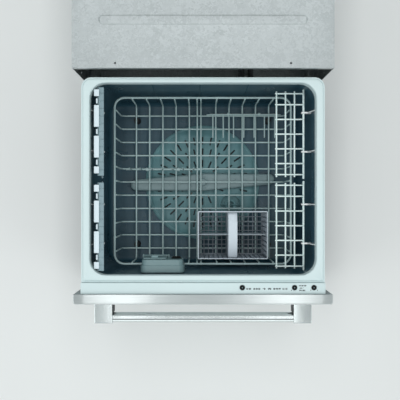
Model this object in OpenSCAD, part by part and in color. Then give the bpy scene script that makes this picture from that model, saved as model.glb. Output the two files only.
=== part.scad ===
// Dishwasher drawer: a wash tub on telescopic runners in a steel chassis, with its own lid.
// Millimetres. X runs across, the front faces -Y and Z is up. The drawer is drawn pulled out.
// The origin is on the floor, under the middle of the open machine.

/* [Chassis] */
// Width of the front panel
machine_w = 599; // [560:1:720]
// Height from the floor to the top of the chassis
machine_h = 410; // [390:1:500]
// Depth of the chassis
chassis_d = 550; // [540:1:660]
// Thickness of the chassis sheet
sheet = 1.2; // [0.8:0.1:1.6]
// Height of the base pan above the floor
foot_h = 16; // [10:1:30]

/* [Drawer] */
// How far the drawer pulls out
travel = 515; // [420:1:520]
// Depth of the tub below its rim
tub_depth = 280; // [233:1:284]
// Width of the tub's mouth
mouth_w = 528; // [440:1:532]
// Depth of the tub's mouth, front to back
mouth_d = 448; // [373:1:460]
// Corner radius of the tub's mouth
mouth_r = 37; // [25:1:60]
// Wall of the tub
tub_wall = 3; // [2:0.5:4]
// How much narrower each side of the tub is at its floor
tub_draft = 8; // [4:1:12]
// Width of the flat rim beside the mouth
rim_side = 20; // [14:1:24]
// Width of the flat rim in front of the mouth
rim_front = 17; // [12:1:24]
// Width of the flat rim behind the mouth
rim_rear = 13; // [8:1:20]

/* [Front] */
// Thickness of the front panel
panel_t = 23; // [18:1:30]
// Radius of the panel's rolled upright edges
panel_r = 6; // [3:1:10]
// Depth of the control strip behind the panel
strip_d = 26; // [22:1:34]
// Radius of the round handle bar
bar_r = 12; // [9:0.5:15]
// How far the handle stands out from the panel
handle_proj = 49; // [40:1:60]
// Width of a handle post
post_w = 42; // [30:1:50]
// Height of a handle post
post_h = 32; // [30:1:40]
// Width over the two handle posts
handle_w = 510; // [400:1:540]
// Radius of a push button
button_r = 5.75; // [4:0.25:7]
// Travel of a push button
button_travel = 1; // [0.6:0.1:1.5]

/* [Racks] */
// Radius of the thin rack wire
wire_r = 2; // [1.5:0.1:2.5]
// Radius of the thick rim wire
rim_wire_r = 2.75; // [2:0.25:3.5]
// Clearance between the base rack and the clips of the cup racks
rack_gap_x = 12.4; // [6:0.2:30]
// Clearance between the base rack and the tub's mouth, front and back
rack_gap_y = 9; // [6:0.5:30]
// Drop from the dispenser's bottom edge to the tops of the base rack's wires
rack_drop = 14; // [10:1:40]
// Pitch of the base rack's upright wires
rack_pitch = 36; // [28:1:60]
// Height of a folding tine
tine_h = 62; // [50:1:75]
// Reach of a cup rack from its hinge
cup_reach = 66; // [50:1:68]
// Height of the cutlery basket
basket_h = 118; // [90:1:142]
// Width of the cutlery basket
basket_w = 176; // [150:1:178]
// Depth of the cutlery basket, front to back
basket_d = 120; // [90:1:140]

/* [Wash system] */
// Radius of the sump well in the tub floor
sump_r = 150; // [130:1:165]
// Clearance between the tips of the spray arm and the tub
arm_gap = 22; // [10:1:60]
// Radius of the motor housing
motor_r = 85; // [70:1:95]
// Radius of the post that the rotor and spray arm turn on
post_r = 5; // [4:0.5:7]
// Radius of the drain filter
filter_r = 30; // [24:1:34]

/* [Fits] */
// Radial clearance of a turning fit
run_gap = 0.1; // [0.05:0.01:0.1]
// Clearance between sliding faces
slide_gap = 0.4; // [0.3:0.05:0.6]
// Gap between the closed front panel and the chassis
closed_gap = 3; // [2:0.5:6]
// How far the lid lifts
lid_lift = 10; // [8:0.5:12]

/* [Hidden] */
$fn = 64;

// Chassis sizes. "u" is measured back from the chassis front edge.
chassis_w = machine_w - 2;
inner_half = chassis_w / 2 - sheet;
front_y = (handle_proj + panel_t + travel + closed_gap - chassis_d) / 2;
pan_z = foot_h;
lid_space = 32;
top_z = machine_h - sheet;
pan_flange = 30;
pan_lip = 8;
brace_d = 22;
brace_h = 12;
rear_gap_z = 92;
side_hole_r = 2.5;
side_hole_u = 12;
side_hole_z = 120;
side_hole_pitch = 180;
foot_r = 16;
foot_u = 17;
foot_x = chassis_w / 2 - 34;
stud_r = 4;

// Drawer sizes. "v" is measured back from the rear face of the front panel.
drawer_y = front_y - closed_gap - travel;
rim_z = machine_h - lid_space;
strip_z = rim_z + 6;
panel_top_z = rim_z + 14;
panel_bottom_z = foot_h + 10;
rim_w = mouth_w + 2 * rim_side;
mouth_v = strip_d + rim_front;
rim_d = rim_front + mouth_d + rim_rear;
tub_y = mouth_v + mouth_d / 2;
floor_z = rim_z - tub_depth;
sump_depth = 14;
sump_z = floor_z - sump_depth;
rim_t = 3;
lip_h = 24;
lip_t = 2.5;

// Telescopic runners: three nested channels a side, each closing on the next.
runner_z = rim_z - 178;
runner_u = 6;
runner_len = travel - 13;
runner_h = 45;
runner_t = 12.7;
runner_sheet = 1.6;
runner_x = inner_half - runner_t;

// Push buttons: how far each is from the right end of the strip, and their place on it.
button_inset = [193, 72, 27];
button_x = [for (inset = button_inset) rim_w / 2 - inset];
button_v = strip_d - 11;
button_flange = 2;
strip_t = 3;

// Handle
handle_z = panel_top_z - 42;
bar_out = handle_proj - bar_r - 0.5;
post_x = handle_w / 2 - post_w / 2;
screw_r = 3;

// A rectangle with round corners, about the origin.
module round_rect(w, d, r) {
    square([w - 2 * r, d], center = true);
    square([w, d - 2 * r], center = true);
    for (x = [-1, 1], y = [-1, 1])
        translate([x * (w / 2 - r), y * (d / 2 - r)])
            circle(r);
}

module round_slab(w, d, h, r) {
    linear_extrude(h)
        round_rect(w, d, r);
}

// Both sides of the machine get the same shape.
module both_sides() {
    children();
    mirror([1, 0, 0])
        children();
}

module on_side(side) {
    if (side < 0)
        mirror([1, 0, 0])
            children();
    else
        children();
}

module in_chassis() {
    translate([0, front_y, 0])
        children();
}

module in_drawer() {
    translate([0, drawer_y, 0])
        children();
}

// A rod along X or Y, from its first end.
module rod_x(len, r) {
    rotate([0, 90, 0])
        cylinder(r = r, h = len);
}

module rod_y(len, r) {
    rotate([-90, 0, 0])
        cylinder(r = r, h = len);
}

// ---------------------------------------------------------------- chassis

module base_pan() {
    half = inner_half - 0.1;
    color("silver")
        in_chassis()
            difference() {
                union() {
                    translate([-half, 0, pan_z])
                        cube([2 * half, chassis_d - sheet, sheet]);
                    for (x = [-half, half - sheet])
                        translate([x, 0, pan_z])
                            cube([sheet, chassis_d - sheet, pan_flange]);
                    translate([-half, 0, pan_z])
                        cube([2 * half, sheet, pan_lip]);
                    translate([-half, chassis_d - 2 * sheet, pan_z])
                        cube([2 * half, sheet, 12]);
                    // Pressed stiffening beads in the floor
                    for (x = [-200, 0, 200])
                        translate([x - 12, 60, pan_z + sheet / 2])
                            cube([24, chassis_d - 220, 2]);
                }
                for (x = [-foot_x, foot_x], u = [foot_u, chassis_d - foot_u - 10])
                    translate([x, u, pan_z - 1])
                        cylinder(r = stud_r + 0.5, h = 6);
            }
}

module side_panel(side) {
    color("gainsboro")
        in_chassis()
            on_side(side)
                difference() {
                    union() {
                        translate([inner_half, 0, pan_z])
                            cube([sheet, chassis_d, top_z - pan_z]);
                        // Hem at the front edge and the two long swages pressed inwards
                        translate([inner_half - 1, 0, pan_z + pan_flange + 4])
                            cube([1 + sheet / 2, 5, top_z - pan_z - pan_flange - brace_h - 8]);
                        for (z = [floor_z - 8, rim_z - 70])
                            translate([inner_half + sheet / 2, 40, z])
                                rotate([-90, 0, 0])
                                    linear_extrude(chassis_d - 80)
                                        polygon([[0, -10], [-2.4, -7], [-2.4, 7], [0, 10]]);
                    }
                    for (k = [0, 1])
                        translate([inner_half - 2, side_hole_u, side_hole_z + k * side_hole_pitch])
                            rod_x(sheet + 4, side_hole_r);
                }
}

module top_panel() {
    color("gainsboro")
        in_chassis()
            difference() {
                union() {
                    translate([-chassis_w / 2, 0, top_z])
                        cube([chassis_w, chassis_d, sheet]);
                    // Cross beads pressed down into the top
                    for (u = [110 : 110 : chassis_d - 100])
                        translate([-chassis_w / 2 + 60, u, top_z + sheet / 2])
                            rotate([90, 0, 90])
                                linear_extrude(chassis_w - 120)
                                    polygon([[-12, 0], [-8, -2.2], [8, -2.2], [12, 0]]);
                }
                // Countertop fixing holes along the front edge
                for (x = [-200, 200])
                    translate([x, 11, top_z - brace_h])
                        cylinder(r = side_hole_r, h = brace_h + 4);
            }
}

module back_panel() {
    half = inner_half - 0.1;
    color("silver")
        in_chassis()
            difference() {
                union() {
                    translate([-half, chassis_d - sheet, pan_z])
                        cube([2 * half, sheet, top_z - pan_z]);
                    for (x = [-120, 0, 120])
                        translate([x - 15, chassis_d - sheet - 2, rear_gap_z + 30])
                            cube([30, 2.5, top_z - rear_gap_z - 60]);
                }
                // Openings at the bottom for the inlet, the drain and the cable
                for (x = [110, 180, 245])
                    translate([x, chassis_d - 6, pan_z + 30])
                        rod_y(12, x == 110 ? 17 : x == 180 ? 13 : 11);
            }
}

module front_brace() {
    half = inner_half - 0.1;
    color("lightgrey")
        in_chassis()
            difference() {
                translate([-half, 0, top_z])
                    rotate([90, 0, 90])
                        linear_extrude(2 * half)
                            polygon([
                                [0, 0], [0, -brace_h], [brace_d, -brace_h], [brace_d, -brace_h + sheet],
                                [sheet, -brace_h + sheet], [sheet, -sheet], [brace_d, -sheet], [brace_d, 0]
                            ]);
                for (x = [-200, 200])
                    translate([x, 11, top_z - 2 * brace_h])
                        cylinder(r = side_hole_r, h = 3 * brace_h);
            }
}

module levelling_feet() {
    color("dimgray")
        in_chassis()
            for (x = [-foot_x, foot_x], u = [foot_u, chassis_d - foot_u - 10])
                translate([x, u, 0]) {
                    cylinder(r1 = foot_r, r2 = foot_r - 3, h = 6);
                    cylinder(r = stud_r, h = pan_z + sheet + 8);
                    translate([0, 0, 6])
                        cylinder(r = 8, h = pan_z - 6, $fn = 6);
                }
}

// One channel of a runner, open towards +X, along Y.
module runner_channel(depth, height, wall, len) {
    translate([0, len, 0])
        rotate([90, 0, 0])
            linear_extrude(len)
                difference() {
                    translate([0, -height / 2])
                        square([depth, height]);
                    translate([wall, -height / 2 + wall])
                        square([depth, height - 2 * wall]);
                }
}

// The runner members nest: the outer opens inwards, the inner opens outwards and the middle, an
// I-section, has a flange in each.
module outer_runners() {
    color("slategray")
        in_chassis()
            both_sides()
                translate([inner_half, runner_u, runner_z])
                    mirror([1, 0, 0]) {
                        runner_channel(runner_t / 2 - 0.4, runner_h, runner_sheet, runner_len + 3);
                        // Stop tab behind the closed middle member
                        translate([0, runner_len + 1, -runner_h / 2])
                            cube([runner_t / 2 - 0.4, 2, 10]);
                    }
}

module middle_runner(side) {
    flange_h = runner_h - 2 * runner_sheet - 2 * slide_gap;
    flange_t = 2;
    web_h = 14;
    color("darkgray")
        in_chassis()
            translate([0, -travel / 2, 0])
                on_side(side)
                    translate([runner_x, runner_u, runner_z]) {
                        for (x = [runner_sheet + slide_gap, runner_t - runner_sheet - slide_gap - flange_t])
                            translate([x, 0, -flange_h / 2])
                                cube([flange_t, runner_len, flange_h]);
                        translate([runner_sheet + slide_gap + 1, 0, -web_h / 2])
                            cube([runner_t - 2 * (runner_sheet + slide_gap) - 2, runner_len, web_h]);
                    }
}

module inner_runners() {
    color("slategray")
        in_chassis()
            translate([0, -travel, 0])
                both_sides()
                    translate([runner_x, runner_u, runner_z])
                        runner_channel(runner_t / 2 - 0.4, runner_h, runner_sheet, runner_len);
}

// Sheet brackets that carry the tub between its runners.
module tub_brackets() {
    reach = runner_x - tub_half(runner_z + 20) - 0.3;
    v0 = 40;
    len = rim_d - 60;
    color("silver")
        in_drawer()
            both_sides()
                translate([runner_x - reach, v0, runner_z]) {
                    translate([reach - 1.5, 0, -20])
                        cube([1.5, len, 40]);
                    for (z = [-20, 18.5])
                        translate([0, 0, z])
                            cube([reach, len, 1.5]);
                    for (v = [0 : len / 4 : len])
                        translate([0, min(v, len - 2), -20])
                            cube([reach, 2, 40]);
                }
}

// ---------------------------------------------------------------- lid

lid_w = rim_w - 6;
lid_u = strip_d - closed_gap + 5;
lid_d = rim_d - 6;
lid_mid = lid_u + lid_d / 2;
lid_z = rim_z + 3 + lid_lift;
pin_r = 3;
pin_u = [lid_u + 50, lid_u + lid_d - 60];
rod_x0 = 200;
rod_u = lid_u + lid_d + 14;
rod_r = 4;

module lid() {
    color("whitesmoke")
        in_chassis() {
            difference() {
                union() {
                    translate([0, lid_mid, lid_z])
                        round_slab(lid_w, lid_d, 4, 24);
                    // Ears at the back that the lifting rods hold
                    for (x = [-rod_x0, rod_x0])
                        translate([x - 12, lid_u + lid_d - 6, lid_z])
                            cube([24, 20 + rod_r + 4, 4]);
                }
                for (x = [-rod_x0, rod_x0])
                    translate([x, rod_u, lid_z - 1])
                        cylinder(r = rod_r, h = 6);
            }
            // Ribs moulded on top
            for (x = [-lid_w / 2 + 40 : (lid_w - 80) / 6 : lid_w / 2 - 39])
                translate([x - 1, lid_u + 24, lid_z + 4])
                    cube([2, lid_d - 48, 6]);
            for (k = [0 : 4])
                translate([-lid_w / 2 + 24, lid_u + 40 + k * (lid_d - 80) / 4 - 1, lid_z + 4])
                    cube([lid_w - 48, 2, 6]);
            // Guide pins at the sides
            both_sides()
                for (u = pin_u)
                    translate([lid_w / 2 - 8, u, lid_z + 2]) {
                        translate([0, -6, 1])
                            cube([8, 12, 7]);
                        translate([4, 0, 4])
                            rod_x(inner_half - lid_w / 2 - 1 + 4, pin_r);
                    }
        }
}

module lid_seal() {
    color("dimgray")
        in_chassis()
            translate([0, lid_mid, lid_z - 2.4])
                difference() {
                    round_slab(mouth_w + 24, mouth_d + 18, 2.4, mouth_r + 6);
                    translate([0, 0, -1])
                        round_slab(mouth_w + 12, mouth_d + 6, 5, mouth_r);
                }
}

module lid_guides() {
    block = inner_half - lid_w / 2 - 2;
    slot = 2 * pin_r + 0.6;
    low = lid_z + 6 - lid_lift;
    color("gray")
        in_chassis()
            both_sides()
                for (u = pin_u)
                    difference() {
                        translate([inner_half - block, u - 11, low - 8])
                            cube([block, 22, lid_lift + 16]);
                        translate([inner_half - block - 1, u - slot / 2, low - pin_r - 0.5])
                            cube([block + 0.01, slot, lid_lift + 2 * pin_r + 1]);
                    }
}

module lid_rods() {
    color("silver")
        in_chassis()
            for (x = [-rod_x0, rod_x0])
                translate([x, rod_u, lid_z - 62])
                    cylinder(r = rod_r, h = 66 + 3);
}

module lid_actuators() {
    body_top = lid_z - lid_lift - 2;
    color("dimgray")
        in_chassis()
            for (x = [-rod_x0, rod_x0])
                difference() {
                    union() {
                        translate([x - 22, rod_u - 10, body_top - 70])
                            cube([44, chassis_d - sheet - rod_u + 10, 70]);
                        translate([x + 22, rod_u + 3, body_top - 34])
                            rod_x(26, 11);
                    }
                    translate([x, rod_u, body_top - 66])
                        cylinder(r = rod_r + run_gap, h = 80);
                }
}

// ---------------------------------------------------------------- services in the chassis

module controller_box() {
    color("dimgray")
        in_chassis()
            translate([-170, chassis_d - 75, pan_z + sheet]) {
                difference() {
                    translate([-65, -75, 0])
                        cube([130, 130, 46]);
                    translate([-70, -60, 30])
                        cube([140, 20, 20]);
                }
                // Row of edge connectors in the notch
                for (x = [-48 : 24 : 48])
                    translate([x - 9, -57, 30])
                        cube([18, 12, 9]);
                for (x = [-1, 1], y = [-60, 40])
                    translate([x * 65 - 8, y, 0])
                        cube([16, 14, 3]);
            }
}

inlet_r = 13.2;
outlet_r = 9.5;
service_z = pan_z + 30;

module inlet_valve() {
    color("white")
        in_chassis()
            translate([110, chassis_d - 48, service_z]) {
                difference() {
                    union() {
                        rod_y(46, inlet_r);
                        translate([0, 26, 0])
                            rod_y(6, inlet_r + 3);
                    }
                    translate([0, 10, 0])
                        rod_y(50, inlet_r - 3);
                }
                translate([-15, -22, -28.8])
                    cube([30, 30, 50]);
                translate([0, -8, 0])
                    cylinder(r = 11, h = 34);
            }
}

module drain_outlet() {
    color("dimgray")
        in_chassis()
            translate([180, chassis_d - 40, service_z]) {
                difference() {
                    union() {
                        rod_y(40, outlet_r);
                        for (u = [26, 32])
                            translate([0, u, 0])
                                rotate([-90, 0, 0])
                                    cylinder(r1 = outlet_r + 1, r2 = outlet_r, h = 5);
                        translate([-14, -20, -28.8])
                            cube([28, 24, 44]);
                    }
                    translate([0, 6, 0])
                        rod_y(50, outlet_r - 2);
                }
            }
}

module cable_gland() {
    color("black")
        in_chassis()
            translate([245, chassis_d - sheet, service_z])
                difference() {
                    union() {
                        translate([0, -12, 0])
                            rod_y(12, 14);
                        rod_y(sheet, 10.9);
                    }
                    translate([0, -20, 0])
                        rod_y(40, 4.5);
                }
}

// The hoses between chassis and drawer lie side by side under the tub.
hose_x = [112, 138];
hose_r = 9;
hose_z = pan_z + 24;
hose_u = chassis_d - 78;
hose_plate_x = hose_x[0] - 14;
hose_plate_w = hose_x[1] - hose_x[0] + 28;
hose_plate_t = 8;
hose_bore_r = 5;
elbow_v = tub_y + mouth_d / 2 - 38;

module hose_bracket() {
    color("gray")
        in_chassis()
            difference() {
                translate([hose_plate_x, hose_u, pan_z + sheet])
                    cube([hose_plate_w, hose_plate_t, 38]);
                for (x = hose_x)
                    translate([x, hose_u - 1, hose_z])
                        rod_y(hose_plate_t + 2, hose_bore_r);
            }
}

module link_hoses() {
    rear = front_y + hose_u;
    front = drawer_y + elbow_v + hose_plate_t;
    color("dimgray")
        for (x = hose_x)
            translate([x, front, hose_z])
                difference() {
                    rod_y(rear - front, hose_r);
                    translate([0, -1, 0])
                        rod_y(rear - front + 2, hose_r - 2.5);
                }
}

module hose_elbow() {
    z0 = hose_z - 12;
    color("gray")
        in_drawer()
            difference() {
                translate([hose_plate_x, elbow_v, z0])
                    cube([hose_plate_w, hose_plate_t, floor_z - tub_wall - z0]);
                for (x = hose_x)
                    translate([x, elbow_v - 1, hose_z])
                        rod_y(hose_plate_t + 2, hose_bore_r);
            }
}

// ---------------------------------------------------------------- tub and its rim

tub_clear = lip_t + 1;
function draft_at(z) = tub_draft * (rim_z - z) / tub_depth;
function tub_inner(z) = mouth_w / 2 + tub_clear - draft_at(z);
function tub_half(z) = tub_inner(z) + tub_wall;
function wall_front(z) = mouth_v - tub_clear + draft_at(z);

// The tapering form of the tub between two heights, grown by a wall.
module tub_form(grow, z0, z1) {
    hull()
        for (z = [z0, z1 - 0.01])
            translate([0, tub_y, z])
                round_slab(
                    2 * (tub_inner(z) + grow), mouth_d + 2 * (tub_clear + grow - draft_at(z)), 0.01,
                    mouth_r + grow, $fn = 32
                );
}

module tub() {
    flange_z = rim_z - 2 * rim_t;
    color([0.28, 0.33, 0.37])
        in_drawer()
            difference() {
                union() {
                    tub_form(tub_wall, floor_z - tub_wall, flange_z + rim_t);
                    translate([0, tub_y, sump_z - tub_wall])
                        cylinder(r = sump_r + tub_wall, h = sump_depth + 1);
                    translate([0, strip_d + rim_d / 2 + 2, flange_z])
                        round_slab(rim_w - 10, rim_d - 10, rim_t, 20);
                    // Upright ribs outside, under the flange
                    for (x = [-1, 1], v = [strip_d + 60 : 70 : strip_d + rim_d - 40])
                        translate([x * (mouth_w / 2 + 5.5), v, flange_z - 60])
                            cube([9, 2.5, 122], center = true);
                    // Feet of the floor that the racks stand on
                    for (x = [-1, 1], y = [-1, 1])
                        translate([x * (rack_w / 2 - 48), tub_y + y * (rack_d / 2 - 45), floor_z - tub_wall])
                            cylinder(r = 11, h = tub_wall);
                }
                tub_form(0, floor_z, rim_z + 1);
                translate([0, tub_y, sump_z])
                    cylinder(r = sump_r, h = sump_depth + 1);
                translate([0, tub_y, sump_z - tub_wall - 1])
                    cylinder(r = post_r + 0.3, h = tub_wall + 2);
            }
}

// Outline of the rim: round corners at the back, square ones where it meets the strip.
module rim_outline(inset) {
    translate([0, strip_d + rim_d / 2])
        round_rect(rim_w - 2 * inset, rim_d - 2 * inset, 24 - inset);
    translate([-rim_w / 2 + inset, strip_d + inset])
        square([rim_w - 2 * inset, rim_d / 2]);
}

module rim_mouth(grow) {
    translate([0, tub_y])
        round_rect(mouth_w + 2 * grow, mouth_d + 2 * grow, mouth_r + grow);
}

module rim_frame() {
    step = 5;
    color([0.80, 0.87, 0.88])
        in_drawer()
            difference() {
                union() {
                    translate([0, 0, rim_z - rim_t])
                        linear_extrude(rim_t)
                            rim_outline(step);
                    translate([0, 0, rim_z - rim_t])
                        linear_extrude(rim_t - 1.5)
                            rim_outline(0.3);
                    // Lip down inside the tub
                    translate([0, 0, rim_z - lip_h])
                        linear_extrude(lip_h - 1)
                            rim_mouth(lip_t);
                    // Skirt round the outside
                    difference() {
                        translate([0, 0, rim_z - 14])
                            linear_extrude(12)
                                rim_outline(0.3);
                        translate([0, 0, rim_z - 15])
                            linear_extrude(15 - rim_t)
                                rim_outline(0.3 + 2.2);
                    }
                }
                translate([0, 0, rim_z - lip_h - 1])
                    linear_extrude(lip_h + 2)
                        rim_mouth(0);
            }
}

// ---------------------------------------------------------------- front

strip_h = 28;
board_z = strip_z - 14;
board_t = 1.6;
board_x = [6, button_x[2] + 20];
switch_h = 4;

module control_strip() {
    w = rim_w - 0.6;
    v0 = 0.3;
    d = strip_d - 0.3;
    color([0.79, 0.86, 0.87])
        in_drawer() {
            difference() {
                translate([-w / 2, v0, strip_z - strip_h])
                    cube([w, d, strip_h]);
                translate([-w / 2 + 3, v0 + 2.5, strip_z - strip_h - 1])
                    cube([w - 6, d - 5, strip_h - strip_t + 1]);
                for (x = button_x)
                    translate([x, button_v, strip_z - 10])
                        cylinder(r = button_r + 0.25, h = 20);
            }
            // Posts that the board hangs from, beside and between the buttons
            for (x = [board_x[0] + 14, (button_x[0] + button_x[1]) / 2, (button_x[1] + button_x[2]) / 2,
                      board_x[1] - 5])
                translate([x, button_v + 4, board_z + board_t])
                    cylinder(r = 2.5, h = strip_z - strip_t - board_z - board_t + 0.5);
        }
}

module control_board() {
    color("darkgreen")
        in_drawer() {
            translate([board_x[0], button_v - 8, board_z])
                cube([board_x[1] - board_x[0], 16, board_t]);
            for (x = button_x)
                translate([x - 3, button_v - 3, board_z + board_t - 0.1])
                    cube([6, 6, switch_h + 0.1]);
            // Chips between the plug and the first button
            for (k = [0 : 2])
                translate([button_x[0] - 41 + 14 * k, button_v - 5, board_z + board_t - 0.1])
                    cube([8, 8, 1.6]);
            // Plug for the harness underneath
            translate([board_x[0] + 30, button_v - 5, board_z - 7])
                cube([24, 9, 7.1]);
        }
}

module push_button(x) {
    flange_z = strip_z - strip_t - 0.2 - button_flange;
    switch_top = board_z + board_t + switch_h;
    color([0.1, 0.1, 0.1])
        in_drawer()
            translate([x, button_v, 0]) {
                difference() {
                    translate([0, 0, flange_z])
                        cylinder(r = button_r, h = strip_z + 1.4 - flange_z);
                    // Shallow dish in the cap
                    translate([0, 0, strip_z + 1])
                        cylinder(r = button_r - 2, h = 2);
                }
                translate([0, 0, flange_z])
                    cylinder(r = button_r + 2, h = button_flange);
                translate([0, 0, switch_top + button_travel + 0.3])
                    cylinder(r = 2, h = flange_z - switch_top - button_travel);
            }
}

skin = 1.2;

// Plan of the panel: square at the back and rolled at the front edges.
module panel_plan(w, d, r) {
    translate([-w / 2, -d + r])
        square([w, d - r]);
    translate([-w / 2 + r, -d])
        square([w - 2 * r, r + 0.01]);
    for (x = [-1, 1])
        translate([x * (w / 2 - r), -d + r])
            circle(r);
}

module front_panel() {
    color([0.78, 0.82, 0.82])
        in_drawer()
            difference() {
                translate([0, 0, panel_bottom_z])
                    linear_extrude(panel_top_z - panel_bottom_z)
                        panel_plan(machine_w, panel_t, panel_r);
                translate([0, 0.01, panel_bottom_z + skin])
                    linear_extrude(panel_top_z - panel_bottom_z - 2 * skin)
                        panel_plan(machine_w - 2 * skin, panel_t - skin, panel_r - skin);
                for (x = [-post_x, post_x])
                    translate([x, -panel_t - 2, handle_z])
                        rod_y(10, screw_r + 0.4);
            }
}

module front_frame() {
    gap = 0.3;
    w = machine_w - 2 * skin - 2 * gap;
    z0 = panel_bottom_z + skin + gap;
    h = panel_top_z - panel_bottom_z - 2 * skin - 2 * gap;
    rib_d = panel_t - skin - gap - 4 - panel_r;
    color([0.25, 0.27, 0.29])
        in_drawer()
            difference() {
                union() {
                    translate([-w / 2, -4, z0])
                        cube([w, 4, h]);
                    translate([-w / 2 + 6, 0, z0]) {
                        for (x = [0 : (w - 15) / 8 : w - 14])
                            translate([x, -4 - rib_d - 5, 4])
                                cube([2.5, rib_d + 5.5, h - 8]);
                        for (k = [0 : 5])
                            translate([0, -4 - rib_d - 5, 4 + k * (h - 10.5) / 5])
                                cube([w - 12, rib_d + 5.5, 2.5]);
                    }
                    // Solid pads behind the handle posts
                    for (x = [-post_x, post_x])
                        translate([x - 14, -panel_t + skin + gap, handle_z - 14])
                            cube([28, panel_t - skin - gap - 2, 28]);
                    // Shelf brackets that carry the tub's brackets
                    both_sides()
                        translate([mouth_w / 2 - 40, -1, runner_z - 22])
                            cube([50, 26, 4]);
                }
                for (x = [-post_x, post_x])
                    translate([x, -panel_t - 2, handle_z])
                        rod_y(panel_t + 10, screw_r + 0.4);
            }
}

module handle_post(side) {
    color([0.74, 0.78, 0.78])
        in_drawer()
            on_side(side)
                translate([post_x, -panel_t, handle_z])
                    difference() {
                        rotate([90, 0, 0])
                            round_slab(post_w, post_h, handle_proj, 3);
                        translate([-post_w / 2 - 1, -bar_out, 0])
                            rod_x(post_w * 0.6 + 1, bar_r + 0.05);
                        translate([0, -20, 0])
                            rod_y(21, screw_r + 0.05);
                    }
}

module handle_bar() {
    len = handle_w - 2 * post_w + 2 * (post_w * 0.6 - 0.3);
    color([0.80, 0.83, 0.83])
        in_drawer()
            translate([-len / 2, -panel_t - bar_out, handle_z])
                difference() {
                    rod_x(len, bar_r);
                    translate([-1, 0, 0])
                        rod_x(len + 2, bar_r - 2);
                }
}

module handle_screws() {
    color("silver")
        in_drawer()
            for (x = [-post_x, post_x])
                translate([x, 0, handle_z])
                    difference() {
                        union() {
                            translate([0, -panel_t - 12, 0])
                                rod_y(panel_t + 12.5, screw_r);
                            rod_y(4, 5.5);
                        }
                        translate([0, 2, 0])
                            rotate([-90, 0, 0])
                                cylinder(r = 2.6, h = 3, $fn = 6);
                    }
}

// ---------------------------------------------------------------- wash system

motor_h = 34;
under_sump = sump_z - tub_wall;
rotor_z = sump_z + 1;
rotor_h = 10;
plate_z = floor_z;
plate_t = 2.5;
arm_z = floor_z + 13;
arm_t = 9;
arm_reach = mouth_d / 2 + tub_clear - draft_at(arm_z) - arm_gap;
hub_z0 = plate_z + 5;
hub_h = arm_z + arm_t - hub_z0 + 2;
cap_z = hub_z0 + 0.3 + hub_h + 0.3;
filter_dir = [0.783, -0.622];
filter_at = (sump_r - filter_r - 20.4) * filter_dir;
pump_r = 22;
pump_dir = [0.7465, 0.6654];
pump_at = (motor_r + pump_r + 16.2) * pump_dir;

module at_sump() {
    in_drawer()
        translate([0, tub_y, 0])
            children();
}

module motor() {
    color("dimgray")
        at_sump() {
            translate([0, 0, under_sump - motor_h])
                rotate_extrude()
                    polygon([
                        [0, 0], [motor_r - 30, 0], [motor_r - 22, 4], [motor_r, 6], [motor_r, 22],
                        [motor_r - 10, 26], [motor_r - 10, motor_h], [0, motor_h]
                    ]);
            // Post that the rotor, the spray arm and its cap stand on
            translate([0, 0, under_sump - 1])
                cylinder(r = post_r, h = cap_z + 4 - under_sump + 1);
        }
}

module wash_rotor() {
    color("whitesmoke")
        at_sump()
            translate([0, 0, rotor_z])
                difference() {
                    union() {
                        cylinder(r = 44, h = 1.8);
                        cylinder(r = 14, h = rotor_h);
                        // Impeller blades
                        for (k = [0 : 7])
                            rotate([0, 0, 45 * k])
                                translate([11, -1, 0])
                                    rotate([0, 0, 14])
                                        cube([31, 2, rotor_h - 1.5]);
                    }
                    translate([0, 0, -1])
                        cylinder(r = post_r + run_gap, h = rotor_h + 2);
                }
}

module heater_plate() {
    color("silver")
        at_sump()
            translate([0, 0, sump_z])
                difference() {
                    cylinder(r = sump_r - 10, h = 2);
                    translate([0, 0, -1])
                        cylinder(r = 55, h = 4);
                }
}

module filter_plate() {
    color([0.45, 0.55, 0.58])
        at_sump()
            translate([0, 0, plate_z])
                difference() {
                    union() {
                        cylinder(r = sump_r + 8, h = plate_t);
                        cylinder(r = 30, h = plate_t + 2);
                        cylinder(r = 14, h = hub_z0 - plate_z);
                        // Raised ring at the filter's seat
                        translate([filter_at[0], filter_at[1], 0])
                            cylinder(r = filter_r + 3, h = plate_t);
                    }
                    translate([0, 0, -1])
                        cylinder(r = post_r + 0.3, h = 12);
                    translate([filter_at[0], filter_at[1], -1])
                        cylinder(r = filter_r + run_gap, h = 10);
                    // Rings of straining slots, left out where the filter stands
                    for (ring = [[52, 16], [84, 24], [116, 32]], k = [0 : ring[1] - 1])
                        let (a = 360 * k / ring[1], at = ring[0] * [cos(a), sin(a)])
                            if (norm(at - filter_at) > filter_r + 20)
                                rotate([0, 0, a])
                                    translate([ring[0] - 11, -2, -1])
                                        cube([22, 4, 8]);
                }
}

module drain_filter() {
    depth = plate_z - sump_z - 3;
    color([0.75, 0.78, 0.80])
        at_sump()
            translate([filter_at[0], filter_at[1], plate_z]) {
                difference() {
                    translate([0, 0, -depth])
                        cylinder(r = filter_r, h = depth + plate_t + 2.8);
                    translate([0, 0, -depth + 2])
                        cylinder(r = filter_r - 3, h = depth + 10);
                }
                difference() {
                    translate([0, 0, plate_t + 0.3])
                        cylinder(r = filter_r + 3, h = 2.5);
                    translate([0, 0, 0])
                        cylinder(r = filter_r - 3, h = 10);
                }
                // Grip across the cup
                translate([-filter_r + 1, -2, plate_t])
                    cube([2 * filter_r - 2, 4, 6]);
            }
}

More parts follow.
